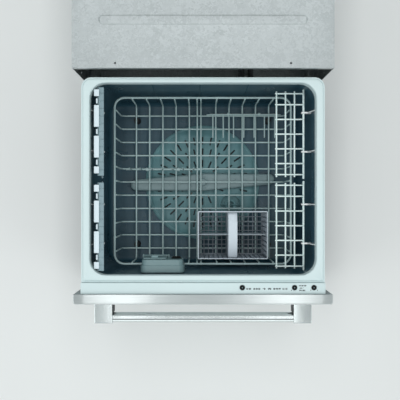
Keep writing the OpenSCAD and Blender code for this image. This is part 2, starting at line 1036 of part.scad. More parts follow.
module spray_arm() {
    color([0.52, 0.60, 0.63])
        at_sump()
            difference() {
                union() {
                    translate([0, 0, arm_z])
                        linear_extrude(arm_t)
                            for (s = [0, 180])
                                rotate(s)
                                    hull() {
                                        circle(24);
                                        translate([arm_reach - 15, 8])
                                            circle(15);
                                    }
                    translate([0, 0, hub_z0 + 0.3])
                        cylinder(r = 18, h = hub_h);
                }
                translate([0, 0, hub_z0 - 1])
                    cylinder(r = post_r + run_gap, h = hub_h + 4);
                // Spray holes along both blades
                for (s = [0, 180], k = [1 : 6])
                    rotate([0, 0, s])
                        translate([k * (arm_reach - 20) / 6, 5 + (k % 2) * 3, arm_z - 1])
                            cylinder(r = 2, h = arm_t + 2, $fn = 24);
            }
}

module arm_cap() {
    color([0.36, 0.43, 0.46])
        at_sump()
            translate([0, 0, cap_z])
                difference() {
                    union() {
                        cylinder(r = 12, h = 3);
                        translate([0, 0, 3])
                            cylinder(r1 = 12, r2 = 8, h = 4);
                    }
                    translate([0, 0, -1])
                        cylinder(r = post_r + 0.05, h = 5.1);
                }
}

module drain_pump() {
    color("dimgray")
        at_sump() {
            translate([pump_at[0], pump_at[1], under_sump - motor_h])
                cylinder(r = pump_r, h = motor_h);
            translate([pump_at[0], pump_at[1], under_sump - motor_h - 3])
                cylinder(r = 12, h = 4);
            translate([pump_at[0] + 14, pump_at[1], under_sump - 14])
                rod_y(elbow_v - tub_y - pump_at[1], 6);
        }
}

// ---------------------------------------------------------------- dispenser

disp_x = [-151, -45];
disp_z = [rim_z - 126, rim_z - 48];
disp_v0 = wall_front(disp_z[0]) + 0.3;
disp_v1 = disp_v0 + 31;
cup_mid = disp_x[0] + 34;
door_w = 58;
door_h = 56;
door_t = 3.5;
hinge_z = disp_z[0] + 9;
hinge_v = disp_v1 + 3.6;
door_pin_r = 1.5;
cap_at = [disp_x[1] - 20, (disp_z[0] + disp_z[1]) / 2];
rinse_r = 13;

module dispenser_body() {
    mid = [(disp_x[0] + disp_x[1]) / 2, (disp_z[0] + disp_z[1]) / 2];
    color([0.62, 0.68, 0.70])
        in_drawer()
            difference() {
                union() {
                    translate([mid[0], disp_v1, mid[1]])
                        rotate([90, 0, 0])
                            round_slab(disp_x[1] - disp_x[0], disp_z[1] - disp_z[0], disp_v1 - disp_v0, 14);
                    // Hinge ears
                    for (x = [-1, 1])
                        translate([cup_mid + x * (door_w / 2 + 2.8) - 2, disp_v1 - 1, hinge_z - 4])
                            cube([4, 8, 8]);
                }
                // Detergent cup
                translate([cup_mid, disp_v1 + 1, mid[1] + 2])
                    rotate([90, 0, 0])
                        round_slab(door_w - 12, door_h - 14, 23, 6);
                // Seat of the rinse-aid cap
                translate([cap_at[0], disp_v1 - 4, cap_at[1]])
                    rod_y(10, rinse_r + run_gap);
                translate([cup_mid - door_w / 2 - 6, hinge_v, hinge_z])
                    rod_x(door_w + 12, door_pin_r + run_gap);
            }
}

module dispenser_door() {
    color([0.70, 0.76, 0.78])
        in_drawer()
            translate([cup_mid, hinge_v, hinge_z]) {
                translate([-door_w / 2 - 4, 0, 0])
                    rod_x(door_w + 8, door_pin_r);
                translate([-door_w / 2, 0, 0])
                    rod_x(door_w, 3);
                translate([0, door_t - 3, door_h / 2])
                    rotate([90, 0, 0])
                        round_slab(door_w, door_h, door_t, 5);
                // Catch rib at the top
                translate([-8, 0, door_h - 6])
                    cube([16, 5, 3]);
            }
}

module rinse_cap() {
    color([0.20, 0.24, 0.27])
        in_drawer()
            translate([cap_at[0], disp_v1 - 3.7, cap_at[1]]) {
                rod_y(5.5, rinse_r);
                translate([-rinse_r + 3, 5, -1.5])
                    cube([2 * rinse_r - 6, 4, 3]);
            }
}

// ---------------------------------------------------------------- racks

// Cup racks: each turns on a rod held by two clips on the side wall of the tub.
cup_z = rim_z - 73;
cup_rod_r = 2.5;
clip_back = 19.5;
clip_front = 5.5;
cup_x = tub_inner(cup_z) - clip_back;
cup_len = (mouth_d + 2 * (tub_clear - draft_at(cup_z)) - 20) / 2;
cup_v = [wall_front(cup_z) + 6, wall_front(cup_z) + 14 + cup_len];
cup_pitch = cup_len / 6;
clip_at = [1.8 * cup_pitch, 4.45 * cup_pitch];
clip_len = 6;

// The base rack stands between the clips and drops in through the tub's mouth.
rack_z = floor_z + 34;
rack_w = 2 * (cup_x - clip_front - rack_gap_x);
rack_d = mouth_d - 2 * rack_gap_y;
rack_h = disp_z[0] - rack_drop - rack_z;
bend_r = 12;
// Sides of the base rack's many wires
wire_sides = 8;
ring_r = 25;
ring_half = [rack_w / 2 - rim_wire_r, rack_d / 2 - rim_wire_r];
weld = 0.8;
side_half = [for (h = ring_half) h - rim_wire_r - wire_r + weld];
lift = 2 * wire_r - weld / 2;
wires_x = floor((rack_w - 2 * ring_r - 20) / rack_pitch / 2);
wires_y = floor((rack_d - 2 * ring_r - 20) / rack_pitch / 2);

// Where the wires that run front to back lie: the middle one is a close pair.
pair_x = [-14.5, -4.5];
long_x = concat(pair_x, [for (k = [-wires_x : wires_x]) if (k != 0) k * rack_pitch]);

// The bottom run of a bent wire, along X.
module wire_run(half_top) {
    translate([bend_r - half_top, 0, 0])
        rod_x(2 * (half_top - bend_r), wire_r, $fn = wire_sides);
}

// One end of a bent wire: round the bend and up. Lies in the XZ plane.
module wire_end(half_top, h) {
    translate([half_top - bend_r, 0, bend_r]) {
        rotate([90, 0, 0])
            rotate([0, 0, -90])
                rotate_extrude(angle = 90)
                    translate([bend_r, 0])
                        circle(wire_r, $fn = wire_sides);
        translate([bend_r, 0, 0])
            cylinder(r = wire_r, h = h - bend_r, $fn = wire_sides);
    }
}

// A loop of wire with round corners. The joints beside the corners are butted.
joint_gap = 0.05;

module wire_loop(half_x, half_y, corner, r) {
    run = [half_x - corner - joint_gap, half_y - corner - joint_gap];
    for (s = [-1, 1]) {
        translate([-run[0], s * half_y, 0])
            rod_x(2 * run[0], r, $fn = wire_sides);
        translate([s * half_x, -run[1], 0])
            rod_y(2 * run[1], r, $fn = wire_sides);
    }
    for (k = [0 : 3])
        let (sx = (k == 0 || k == 3) ? 1 : -1, sy = k < 2 ? 1 : -1)
            translate([sx * (half_x - corner), sy * (half_y - corner), 0])
                rotate([0, 0, 90 * k])
                    rotate_extrude(angle = 90)
                        translate([corner, 0])
                            circle(r, $fn = wire_sides);
}

tine_axis_z = rack_z + lift + wire_r + wire_r + 1;
tine_pitch = 28;
// Each tine row: half its hinge wire, its middle and where its hinge lies.
tine_count = 7;
row_half = (tine_count - 1) / 2 * tine_pitch + 8;
rear_row_x = rack_w / 2 - 24 - row_half;
front_row_x = -rack_w / 2 + 28 + row_half;
rear_row_y = rack_d / 2 - 32;
front_row_y = 34;
tine_rows = [[rear_row_x, rear_row_y], [front_row_x, front_row_y]];
eye_r = 4.6;
eye_len = 7;
eye_x = [-1.5 * tine_pitch, 1.5 * tine_pitch];

module at_rack() {
    in_drawer()
        translate([0, tub_y, 0])
            children();
}

module base_rack() {
    color([0.68, 0.74, 0.75])
        at_rack()
            difference() {
                union() {
                    for (k = [-wires_y : wires_y])
                        translate([0, k * rack_pitch, rack_z])
                            wire_run(side_half[0]);
                    for (x = long_x)
                        translate([x, 0, rack_z + lift])
                            rotate([0, 0, 90])
                                wire_run(side_half[1]);
                    // Eyes that the tine rows turn in
                    for (row = tine_rows, x = eye_x)
                        translate([row[0] + x - eye_len / 2, row[1], tine_axis_z])
                            rod_x(eye_len, eye_r);
                    // A cross wire under each row of eyes
                    for (row = tine_rows)
                        translate([row[0] - 100, row[1], rack_z])
                            rod_x(200, wire_r, $fn = wire_sides);
                    for (row = tine_rows, x = eye_x)
                        translate([row[0] + x - eye_len / 2, row[1] - 1.5, rack_z])
                            cube([eye_len, 3, tine_axis_z - rack_z]);
                }
                for (row = tine_rows, x = eye_x)
                    translate([row[0] + x - eye_len, row[1], tine_axis_z])
                        rod_x(2 * eye_len, wire_r + run_gap);
            }
}

// The upright wires of the base rack and the thick wire round their tops.
module rack_sides() {
    color([0.68, 0.74, 0.75])
        at_rack() {
            for (k = [-wires_y : wires_y])
                both_sides()
                    translate([0, k * rack_pitch, rack_z])
                        wire_end(side_half[0], rack_h);
            for (x = long_x, turn = [-90, 90])
                translate([x, 0, rack_z + lift])
                    rotate([0, 0, turn])
                        wire_end(side_half[1], rack_h - lift);
            translate([0, 0, rack_z + rack_h - 1])
                wire_loop(ring_half[0], ring_half[1], ring_r, rim_wire_r);
        }
}

module rack_feet() {
    color("dimgray")
        at_rack()
            for (x = [-1, 1], y = [-1, 1])
                translate([x * (rack_w / 2 - 48), y * (rack_d / 2 - 45), floor_z])
                    cylinder(r1 = 9, r2 = 7, h = rack_z - wire_r - floor_z - 0.3);
}

// A row of tines on a hinge wire. Upright at 0 degrees, lying to the front at 90.
module tine_row(mid, y, turned) {
    color([0.68, 0.74, 0.75])
        at_rack()
            translate([mid, y, tine_axis_z])
                rotate([turned, 0, 0]) {
                    translate([-row_half, 0, 0])
                        rod_x(2 * row_half, wire_r);
                    for (k = [0 : tine_count - 1])
                        translate([-row_half + 8 + k * tine_pitch, 0, 0]) {
                            cylinder(r = wire_r - 0.2, h = tine_h);
                            translate([0, 0, tine_h])
                                cylinder(r1 = wire_r - 0.2, r2 = 1, h = 1.5);
                        }
                }
}

basket_v = tub_y - rack_d / 2 + 17;
basket_x = -12;
basket_z = rack_z + lift + wire_r + 0.5;
basket_wall = 2;

// One side of the basket in its own plane, pierced by rows of slots.
module basket_side(w, h, cols, rows) {
    edge = 5;
    bar = 2.2;
    slot = [(w - 2 * edge + bar) / cols - bar, (h - 2 * edge + bar) / rows - bar];
    difference() {
        square([w, h]);
        for (i = [0 : cols - 1], j = [0 : rows - 1])
            translate([edge + i * (slot[0] + bar), edge + j * (slot[1] + bar)])
                square(slot);
    }
}

// The basket is clipped together from five pierced plates.
module cutlery_basket() {
    wall_z = basket_wall + joint_gap;
    wall_h = basket_h - wall_z;
    end_d = basket_d - 2 * (basket_wall + joint_gap);
    color([0.78, 0.80, 0.84])
        at_basket() {
            linear_extrude(basket_wall)
                basket_side(basket_w, basket_d, 14, 9);
            for (v = [0, basket_d - basket_wall])
                translate([0, v + basket_wall, wall_z])
                    rotate([90, 0, 0])
                        linear_extrude(basket_wall)
                            basket_side(basket_w, wall_h, 14, 6);
            for (x = [0, basket_w - basket_wall])
                translate([x, basket_wall + joint_gap, wall_z])
                    rotate([90, 0, 90])
                        linear_extrude(basket_wall)
                            basket_side(end_d, wall_h, 9, 6);
        }
}

band_w = 21;
band_x = basket_w / 2;
band_t = 1.6;

module at_basket() {
    in_drawer()
        translate([basket_x, basket_v, basket_z])
            children();
}

// The carry band on its two plates, and a divider at each side of it.
module basket_dividers() {
    inner_d = basket_d - 2 * (basket_wall + joint_gap);
    z0 = basket_wall + joint_gap;
    cross_h = basket_h - 26;
    left_x = band_x - band_w / 2 - band_t / 2;
    right_x = band_x + band_w / 2 + band_t / 2;
    color([0.78, 0.80, 0.84])
        at_basket() {
            for (x = [left_x, right_x - band_t])
                translate([x, basket_wall + joint_gap, z0])
                    cube([band_t, inner_d, basket_h - 16]);
            intersection() {
                translate([left_x, 0, basket_h - 14.2])
                    rotate([90, 0, 90])
                        linear_extrude(right_x - left_x)
                            difference() {
                                translate([basket_d / 2, 0])
                                    scale([1, 0.34])
                                        circle(basket_d / 2, $fn = 96);
                                translate([basket_d / 2, 0])
                                    scale([1, 0.32])
                                        circle(basket_d / 2 - 3, $fn = 96);
                                translate([-1, -basket_d])
                                    square([basket_d + 2, basket_d]);
                            }
                translate([0, basket_wall + joint_gap, 0])
                    cube([basket_w, inner_d, 2 * basket_h]);
            }
            translate([basket_wall + joint_gap, basket_d / 2 - band_t / 2, z0])
                cube([left_x - basket_wall - 2 * joint_gap, band_t, cross_h]);
            translate([right_x + joint_gap, basket_d / 2 - band_t / 2, z0])
                cube([basket_w - right_x - basket_wall - 2 * joint_gap, band_t, cross_h]);
        }
}

module rack_clips() {
    reach = tub_inner(cup_z - 8) - 0.3;
    color("white")
        in_drawer()
            both_sides()
                for (v = cup_v, at = clip_at)
                    difference() {
                        translate([cup_x - clip_front, v + at - clip_len / 2, cup_z - 8])
                            cube([reach - cup_x + clip_front, clip_len, 13.5]);
                        translate([cup_x, v + at - clip_len, cup_z])
                            rod_y(2 * clip_len, cup_rod_r + run_gap);
                    }
}

// Wire shelf, drawn lying down towards the middle.
module wire_cup_rack(v) {
    color([0.70, 0.76, 0.77])
        in_drawer()
            translate([cup_x, v, cup_z]) {
                rod_y(cup_len, cup_rod_r);
                for (k = [1 : 3])
                    translate([-k * cup_reach / 3, 4, 0])
                        rod_y(cup_len - 8, wire_r);
                for (k = [0 : 6])
                    translate([-cup_reach - 3, min(max(k * cup_pitch, 9), cup_len - 9), 2.9])
                        rod_x(cup_reach + 3, 1.8);
            }
}

// Where a comb's tabs start: they stand out to the wall, inside the round corners of the mouth.
tab_out = 9;
corner_across = min(cup_x + tab_out + 1 - (mouth_w / 2 - mouth_r), mouth_r);
corner_along = mouth_d / 2 - mouth_r + sqrt(pow(mouth_r, 2) - pow(corner_across, 2));
tab_start = max(tub_y - corner_along - cup_v[0], 4);

// Moulded comb, drawn folded up against the wall: broad tabs and narrow ones by turns, half a tab
// at each end.
module comb_cup_rack(v) {
    tab_w = cup_pitch * 0.71;
    narrow_w = cup_pitch * 0.34;
    root = 11;
    color([0.80, 0.86, 0.90])
        in_drawer()
            translate([-cup_x, v, cup_z]) {
                rod_y(cup_len, cup_rod_r);
                translate([-2, 4, root])
                    cube([4, cup_len - 8, 10]);
                // Back of the comb and the shelf along its top
                translate([-1.5, 4, root + 1])
                    cube([3, cup_len - 8, cup_reach - root - 6]);
                translate([-1.5, 4, cup_reach - 8])
                    cube([15, cup_len - 8, 3]);
                // Broad tabs towards the wall, with a web down the back
                for (k = [0 : 3])
                    let (y0 = max(k * 2 * cup_pitch - tab_w, tab_start), y1 = min(k * 2 * cup_pitch + tab_w, cup_len - tab_start))
                        translate([0, y0, 0]) {
                            translate([-tab_out, 0, cup_reach - 3])
                                cube([tab_out + 3, y1 - y0, 3]);
                            translate([-1.5, 0, cup_reach - 6])
                                cube([3, y1 - y0, 5]);
                            translate([-7, (y1 - y0) / 2 - 1, root + 14])
                                cube([7, 2, cup_reach - root - 15]);
                        }
                // Narrow tabs, set lower
                for (k = [0 : 2])
                    translate([-5, (2 * k + 1) * cup_pitch - narrow_w / 2, cup_reach - 8])
                        cube([5, narrow_w, 3]);
                // Stiffening ribs on the shelf's underside
                for (k = [1 : 11])
                    translate([0, k * cup_pitch / 2 - 1, cup_reach - 22])
                        cube([11, 2, 14.5]);
                // Arms from the rod to the comb, clear of the clips
                for (at = [0.6, 2.4, 3.6, 5.4])
                    translate([-1.5, at * cup_pitch - 4, 0])
                        cube([3, 8, root + 2]);
            }
}

module left_side_panel() side_panel(-1);
module right_side_panel() side_panel(1);
module left_middle_runner() middle_runner(-1);
module right_middle_runner() middle_runner(1);
module power_button() push_button(button_x[0]);
module start_button() push_button(button_x[1]);
module lock_button() push_button(button_x[2]);
module left_handle_post() handle_post(-1);
module right_handle_post() handle_post(1);
module rear_tine_row() tine_row(rear_row_x, rear_row_y, 90);
module front_tine_row() tine_row(front_row_x, front_row_y, 0);
module left_front_cup_rack() comb_cup_rack(cup_v[0]);
module left_rear_cup_rack() comb_cup_rack(cup_v[1]);
module right_front_cup_rack() wire_cup_rack(cup_v[0]);
module right_rear_cup_rack() wire_cup_rack(cup_v[1]);

base_pan();
left_side_panel();
right_side_panel();
top_panel();
back_panel();
front_brace();
levelling_feet();
outer_runners();
lid_guides();
lid_actuators();
controller_box();
inlet_valve();
drain_outlet();
cable_gland();
hose_bracket();
lid();
lid_seal();
lid_rods();
left_middle_runner();
right_middle_runner();
inner_runners();
tub_brackets();
tub();
rim_frame();
control_strip();
control_board();
power_button();
start_button();
lock_button();
front_frame();
front_panel();
left_handle_post();
right_handle_post();
handle_bar();
handle_screws();
motor();
wash_rotor();
heater_plate();
filter_plate();
drain_filter();
spray_arm();
arm_cap();
drain_pump();
hose_elbow();
link_hoses();
dispenser_body();
dispenser_door();
rinse_cap();
base_rack();
rack_sides();
rack_feet();
rear_tine_row();
front_tine_row();
cutlery_basket();
basket_dividers();
rack_clips();
left_front_cup_rack();
left_rear_cup_rack();
right_front_cup_rack();
right_rear_cup_rack();
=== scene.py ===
"""Surfaces and finishes of a pulled-out dishwasher drawer, built round its packed CAD frame.

Lengths in the functions are millimetres; the meshes are made in metres. X runs across the machine,
the front faces -Y and Z is up. "v" is measured back from the rear face of the front panel.
"""

import functools
import math

import bmesh
import bpy
import numpy as np
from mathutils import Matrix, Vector
from mathutils.geometry import tessellate_polygon


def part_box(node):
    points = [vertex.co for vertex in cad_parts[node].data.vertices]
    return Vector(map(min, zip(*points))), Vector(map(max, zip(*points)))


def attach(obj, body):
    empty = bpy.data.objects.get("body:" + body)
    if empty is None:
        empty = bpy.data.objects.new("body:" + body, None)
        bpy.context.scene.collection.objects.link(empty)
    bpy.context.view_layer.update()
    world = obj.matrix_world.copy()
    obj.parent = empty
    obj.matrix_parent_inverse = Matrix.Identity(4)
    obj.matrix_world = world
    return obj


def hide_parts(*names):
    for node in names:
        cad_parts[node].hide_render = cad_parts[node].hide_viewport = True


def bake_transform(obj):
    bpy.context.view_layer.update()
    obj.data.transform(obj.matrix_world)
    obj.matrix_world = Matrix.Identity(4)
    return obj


bl_info = {
    "name": "Dishwasher Drawer",
    "version": (1, 0, 0),
    "blender": (4, 5, 0),
    "location": "View3D > Sidebar > Drawer",
    "description": "Builds the surfaces and finishes of a pulled-out dishwasher drawer",
    "category": "Object",
}

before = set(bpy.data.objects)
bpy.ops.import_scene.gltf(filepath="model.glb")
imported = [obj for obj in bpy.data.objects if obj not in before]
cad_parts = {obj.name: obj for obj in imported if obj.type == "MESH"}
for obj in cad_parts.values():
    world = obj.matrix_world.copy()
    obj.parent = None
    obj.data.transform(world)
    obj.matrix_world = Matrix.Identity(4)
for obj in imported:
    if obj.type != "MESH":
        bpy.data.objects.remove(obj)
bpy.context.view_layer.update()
MM = 0.001


def corners(node):
    """Lowest and highest corner of a CAD node, in millimetres."""
    low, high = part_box(node)
    return np.array(low) / MM, np.array(high) / MM


PANEL_LOW, PANEL_HIGH = corners("front_panel")
CHASSIS_LOW, CHASSIS_HIGH = corners("top_panel")

DRAWER_Y = PANEL_HIGH[1]
RIM_Z = corners("rim_frame")[1][2]
FLOOR_Z = corners("filter_plate")[0][2]
STRIP_D = 26.0
MOUTH_W, MOUTH_D, MOUTH_R = 528.0, 448.0, 37.0
TUB_Y = DRAWER_Y + 267.0
TUB_AT = np.array([0.0, TUB_Y])
TUB_DEPTH = RIM_Z - FLOOR_Z
TUB_DRAFT = 8.0
TUB_WALL = 3.0
TUB_CLEAR = 3.5
SUMP_Z = FLOOR_Z - 14.0
SUMP_R = 150.0
HANDLE_Z = 350.0
HANDLE_OUT, BAR_OUT, BAR_R = 49.0, 36.5, 12.0
CUP_X, CUP_Z, CUP_LEN = 245.914, 305.0, 215.414
CUP_V = (47.586, 271.0)
RACK_Z = FLOOR_Z + 34.0
RACK_TOP = RACK_Z + 106.0
BASKET_AT = np.array([-12.0, DRAWER_Y + 69.0, 138.1])
BASKET = np.array([176.0, 120.0, 118.0])
HOSE_X = (112.0, 138.0)
HOSE_R, HOSE_Z = 9.0, 40.0
SERVICE_Z = 46.0
INLET_X, DRAIN_X, GLAND_X = 110, 180, 245


def chosen(key):
    """A size from the settings, in millimetres; the settings keep fewer digits than the shapes need."""
    return round(getattr(bpy.context.scene.drawer_sizes, key) / MM, 4)


# ---------------------------------------------------------------- numpy surfaces


def unit(vectors):
    """Each vector divided by its own length."""
    return vectors / np.maximum(np.linalg.norm(vectors, axis=-1, keepdims=True), 1e-12)


def skin(rings, along=False, ends=(True, True)):
    """Quads between neighbouring rings: point j of ring i joins point j of ring i + 1.

    Each ring closes on itself; along joins the last ring to the first, and ends fills the first and
    the last ring with one face each.
    """
    rings = np.asarray(rings, float)
    count, size = rings.shape[:2]
    i = np.arange(count if along else count - 1)[:, None]
    j = np.arange(size)[None, :]
    near, far = i * size, (i + 1) % count * size
    after = (j + 1) % size
    faces = np.stack([near + j, near + after, far + after, far + j], -1).reshape(-1, 4).tolist()
    if not along and ends[0]:
        faces.append(list(range(size))[::-1])
    if not along and ends[1]:
        faces.append(list(range((count - 1) * size, count * size)))
    return rings.reshape(-1, 3), faces


def ring_rect(width, depth, radius, corner=8, side=12):
    """Outline of a rectangle with round corners, anticlockwise about the origin.

    A corner point is the corner's centre plus radius times (cos t, sin t); the straight sides
    between two corners are cut into equal steps.
    """
    radius = max(radius, 0.01)
    t = np.linspace(0, math.pi / 2, corner + 1)
    centre = np.array([width / 2 - radius, depth / 2 - radius])
    points = []
    for k, sign in enumerate(((1, 1), (-1, 1), (-1, -1), (1, -1))):
        turn = t + k * math.pi / 2
        arc = centre * sign + radius * np.stack([np.cos(turn), np.sin(turn)], -1)
        points.append(arc)
    loop = []
    for k in range(4):
        start, end = points[k][-1], points[(k + 1) % 4][0]
        steps = np.linspace(0, 1, side + 1)[1:-1, None]
        loop += [points[k], start + (end - start) * steps]
    return np.concatenate(loop)


def ring_circle(radius, count=32, at=(0.0, 0.0)):
    """Outline of a circle: at plus radius times (cos t, sin t)."""
    t = np.arange(count) * 2 * math.pi / count
    return np.stack([np.cos(t), np.sin(t)], -1) * radius + np.asarray(at)


def pulled_to_circle(ring, radius, at=(0.0, 0.0)):
    """Each point of a flat ring moved along its ray from the centre on to a circle."""
    return unit(ring - np.asarray(at)) * radius + np.asarray(at)


def level(ring, height):
    """A flat ring lifted to a height."""
    return np.column_stack([ring, np.full(len(ring), float(height))])


def slab(outline, bottom, top, soft=0.8):
    """A flat piece with softened edges; outline(inset) gives its plan at an inset.

    At angle a of an edge's quarter round the inset is r (1 - sin a) and the height r (1 - cos a).
    """
    arc = np.linspace(0, math.pi / 2, 4)
    low = [level(outline(soft - soft * math.sin(a)), bottom + soft - soft * math.cos(a)) for a in arc]
    high = [level(outline(soft - soft * math.cos(a)), top - soft + soft * math.sin(a)) for a in arc]
    return skin(low + high)


def filled(loops, height):
    """Triangles between an outer outline and the holes in it, all at one height."""
    flat = [[Vector((x, y, 0.0)) for x, y in loop] for loop in loops]
    points = np.concatenate([level(loop, height) for loop in loops])
    return points, [list(face) for face in tessellate_polygon(flat)]


def pierced(outline, holes, bottom, top, soft=0.5, wall=None, skirt=None):
    """A plate with softened edges and through holes; outline and each hole are rings of an inset.

    With a wall, the underside stands in by that much and the edge runs down to the skirt's height.
    """
    arcs = np.linspace(0, math.pi / 2, 3)
    shapes = []
    rim = [(soft - soft * math.sin(a), top - soft + soft * math.cos(a)) for a in arcs]
    if wall is None:
        rim += [(0.0, bottom + soft), (soft, bottom)]
        under = soft
    else:
        rim += [(0.0, skirt), (wall, skirt), (wall, bottom)]
        under = wall
    shapes.append(skin([level(outline(inset), z) for inset, z in rim], ends=(False, False)))
    bore = [(soft, top), (0.0, top - soft), (0.0, bottom)]
    for hole in holes:
        shapes.append(skin([level(hole(-inset), z) for inset, z in bore], ends=(False, False)))
    shapes.append(filled([outline(soft)] + [hole(-soft) for hole in holes], top))
    shapes.append(filled([outline(under)] + [hole(0.0) for hole in holes], bottom))
    return joined(shapes)


def pressed(outline, beads, holes, sheet, depth):
    """A pressed sheet: both faces filled between its rings, each bead a ring carried down an S-shaped slope.

    At a share s of the slope the bead has gone down by depth times (3 s squared - 2 s cubed).
    """
    shapes = []
    slope, share = 4.0, np.linspace(0, 1, 6)
    for face in (0.0, -sheet):
        shapes.append(filled([outline] + [ring(0) for ring in beads + holes], face))
        for ring in beads:
            rings = [level(ring(slope * s), face - depth * (3 * s * s - 2 * s ** 3)) for s in share]
            shapes.append(skin(rings, ends=(False, True)))
    for loop in [outline] + [ring(0) for ring in holes]:
        shapes.append(skin([level(loop, 0), level(loop, -sheet)], ends=(False, False)))
    return joined(shapes)


def oval(x, y, width, height, corner):
    """Ring of a bead: a rounded rectangle round its own middle, drawn in by an inset."""
    def ring(inset):
        return ring_rect(width - 2 * inset, height - 2 * inset, max(corner - inset, 0.5), 6, 1) + [x, y]

    return ring


def rivet(x, y, z, axis):
    """Domed rivet head standing off a sheet by 0.8."""
    dome = lathe([(0, 0.8), (1.1, 0.72), (2.1, 0.45), (2.6, 0.0), (2.6, -0.5), (0, -0.5)], steps=14)
    order = {"x": [2, 0, 1], "y": [0, 2, 1]}[axis]
    return dome[0][:, order] + [x, y, z], dome[1]


def joined(shapes):
    """Several shapes as one."""
    points, faces, start = [], [], 0
    for part_points, part_faces in shapes:
        points.append(part_points)
        faces += [[index + start for index in face] for face in part_faces]
        start += len(part_points)
    return np.concatenate(points), faces


def lathe(profile, at=(0.0, 0.0, 0.0), axis=2, steps=48, loop=False):
    """(radius, height) pairs turned about a line: the point (r cos t, r sin t, h) for each step t."""
    profile = np.asarray(profile, float)
    t = np.arange(steps) * 2 * math.pi / steps
    radius, height = profile[:, :1], profile[:, 1:]
    rings = np.stack([radius * np.cos(t), radius * np.sin(t), height + 0 * t], -1)
    order = {0: [2, 0, 1], 1: [1, 2, 0], 2: [0, 1, 2]}[axis]
    return skin(rings[..., order] + np.asarray(at, float), along=loop, ends=(False, False))


def rounded(points, radius, steps=4):
    """A path whose inner corners are arcs.

    The arc leaves each leg at radius times tan(half the turn) from the corner and is swept about its
    centre in equal angles.
    """
    points = np.asarray(points, float)
    out = [points[:1]]
    for before, here, after in zip(points, points[1:], points[2:]):
        back, on = unit(before - here), unit(after - here)
        half = math.acos(np.clip(np.dot(back, on), -1, 1)) / 2
        reach = radius / math.tan(half)
        middle = here + unit(back + on) * radius / math.sin(half)
        spoke, other = here + back * reach - middle, here + on * reach - middle
        turn = math.pi - 2 * half
        t = np.linspace(0, 1, steps + 1)[:, None]
        arc = (np.sin((1 - t) * turn) * spoke + np.sin(t * turn) * other) / math.sin(turn)
        out.append(middle + arc)
    return np.concatenate([*out, points[-1:]])


def rod(path, radius, normal, sides=10, closed=False):
    """A round bar along a flat path: p + r (cos t * side + sin t * normal), its open ends domed."""
    path = np.asarray(path, float)
    ahead = unit(np.roll(path, -1, 0) - path)
    behind = unit(path - np.roll(path, 1, 0))
    if not closed:
        ahead[-1], behind[0] = behind[-1], ahead[0]
    tangent = unit(ahead + behind)
    radii = np.full(len(path), float(radius))
    if not closed:
        lift = np.array([1.0, 0.7])[:, None] * radius * 0.6
        path = np.concatenate([path[:1] - tangent[:1] * lift, path, path[-1:] + tangent[-1:] * lift[::-1]])
        radii = np.concatenate([[radius * 0.35, radius * 0.8], radii, [radius * 0.8, radius * 0.35]])
        tangent = np.concatenate([tangent[:1], tangent[:1], tangent, tangent[-1:], tangent[-1:]])
    side = unit(np.cross(np.asarray(normal, float), tangent))
    up = unit(np.cross(tangent, side))
    t = np.arange(sides) * 2 * math.pi / sides
    spokes = np.cos(t)[:, None] * side[:, None] + np.sin(t)[:, None] * up[:, None]
    return skin(path[:, None] + spokes * radii[:, None, None], along=closed)


def soft_box(low, high, soft=0.5):
    """A block between two corners, its upright edges and its top and bottom edges rounded."""
    low, high = np.asarray(low, float), np.asarray(high, float)
    soft = min(soft, *(0.49 * (high - low)))
    size, middle = high - low, (low + high) / 2

    def outline(inset):
        return ring_rect(size[0] - 2 * inset, size[1] - 2 * inset, soft, 2, 1) + middle[:2]

    return slab(outline, low[2], high[2], soft)


def laid(shape, axes, at=(0.0, 0.0, 0.0)):
    """A shape drawn flat, with its own axes sent to the named ones: "xzy" stands it up facing Y."""
    points, faces = shape
    order = ["xyz".index(axis) for axis in axes]
    out = np.empty_like(points)
    out[:, order] = points
    return out + np.asarray(at, float), faces


def moved(shape, x=0.0, y=0.0, z=0.0):
    """A shape carried along the axes."""
    return shape[0] + np.array([x, y, z]), shape[1]


def mirrored(shape):
    """A shape of the right side as that of the left."""
    return shape[0] * np.array([-1.0, 1.0, 1.0]), shape[1]


def turned(shape, degrees, at=(0.0, 0.0)):
    """A shape turned about an upright line through at."""
    a = math.radians(degrees)
    foot = np.array([at[0], at[1], 0.0])
    matrix = np.array([[math.cos(a), math.sin(a), 0], [-math.sin(a), math.cos(a), 0], [0, 0, 1]])
    return (shape[0] - foot) @ matrix + foot, shape[1]


def build(name, shapes, finish, replaces=(), body="drawer", sharp=38.0):
    """One object from closed shapes in millimetres, on a CAD body and in place of its CAD nodes.

    Its slot is named like its finish, unless another is given.
    """
    points, faces = joined(shapes)
    mesh = bpy.data.meshes.new(name)
    mesh.from_pydata(points * MM, [], faces)
    work = bmesh.new()
    work.from_mesh(mesh)
    bmesh.ops.remove_doubles(work, verts=work.verts, dist=2e-6)
    bmesh.ops.recalc_face_normals(work, faces=work.faces)
    work.to_mesh(mesh)
    work.free()
    mesh.polygons.foreach_set("use_smooth", np.ones(len(mesh.polygons), bool))
    mesh.set_sharp_from_angle(angle=math.radians(sharp))
    made = bpy.data.objects.new(name, mesh)
    bpy.context.scene.collection.objects.link(made)
    mesh.materials.append(finishes()[finish])
    if body:
        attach(made, body)
    if replaces:
        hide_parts(*replaces)
    return made


# ---------------------------------------------------------------- finishes


def linear(hex_colour):
    """An sRGB hex colour as linear red, green, blue and alpha."""
    value = np.array([int(hex_colour[k:k + 2], 16) for k in (1, 3, 5)]) / 255
    value = np.where(value <= 0.04045, value / 12.92, ((value + 0.055) / 1.055) ** 2.4)
    return (*value.tolist(), 1.0)


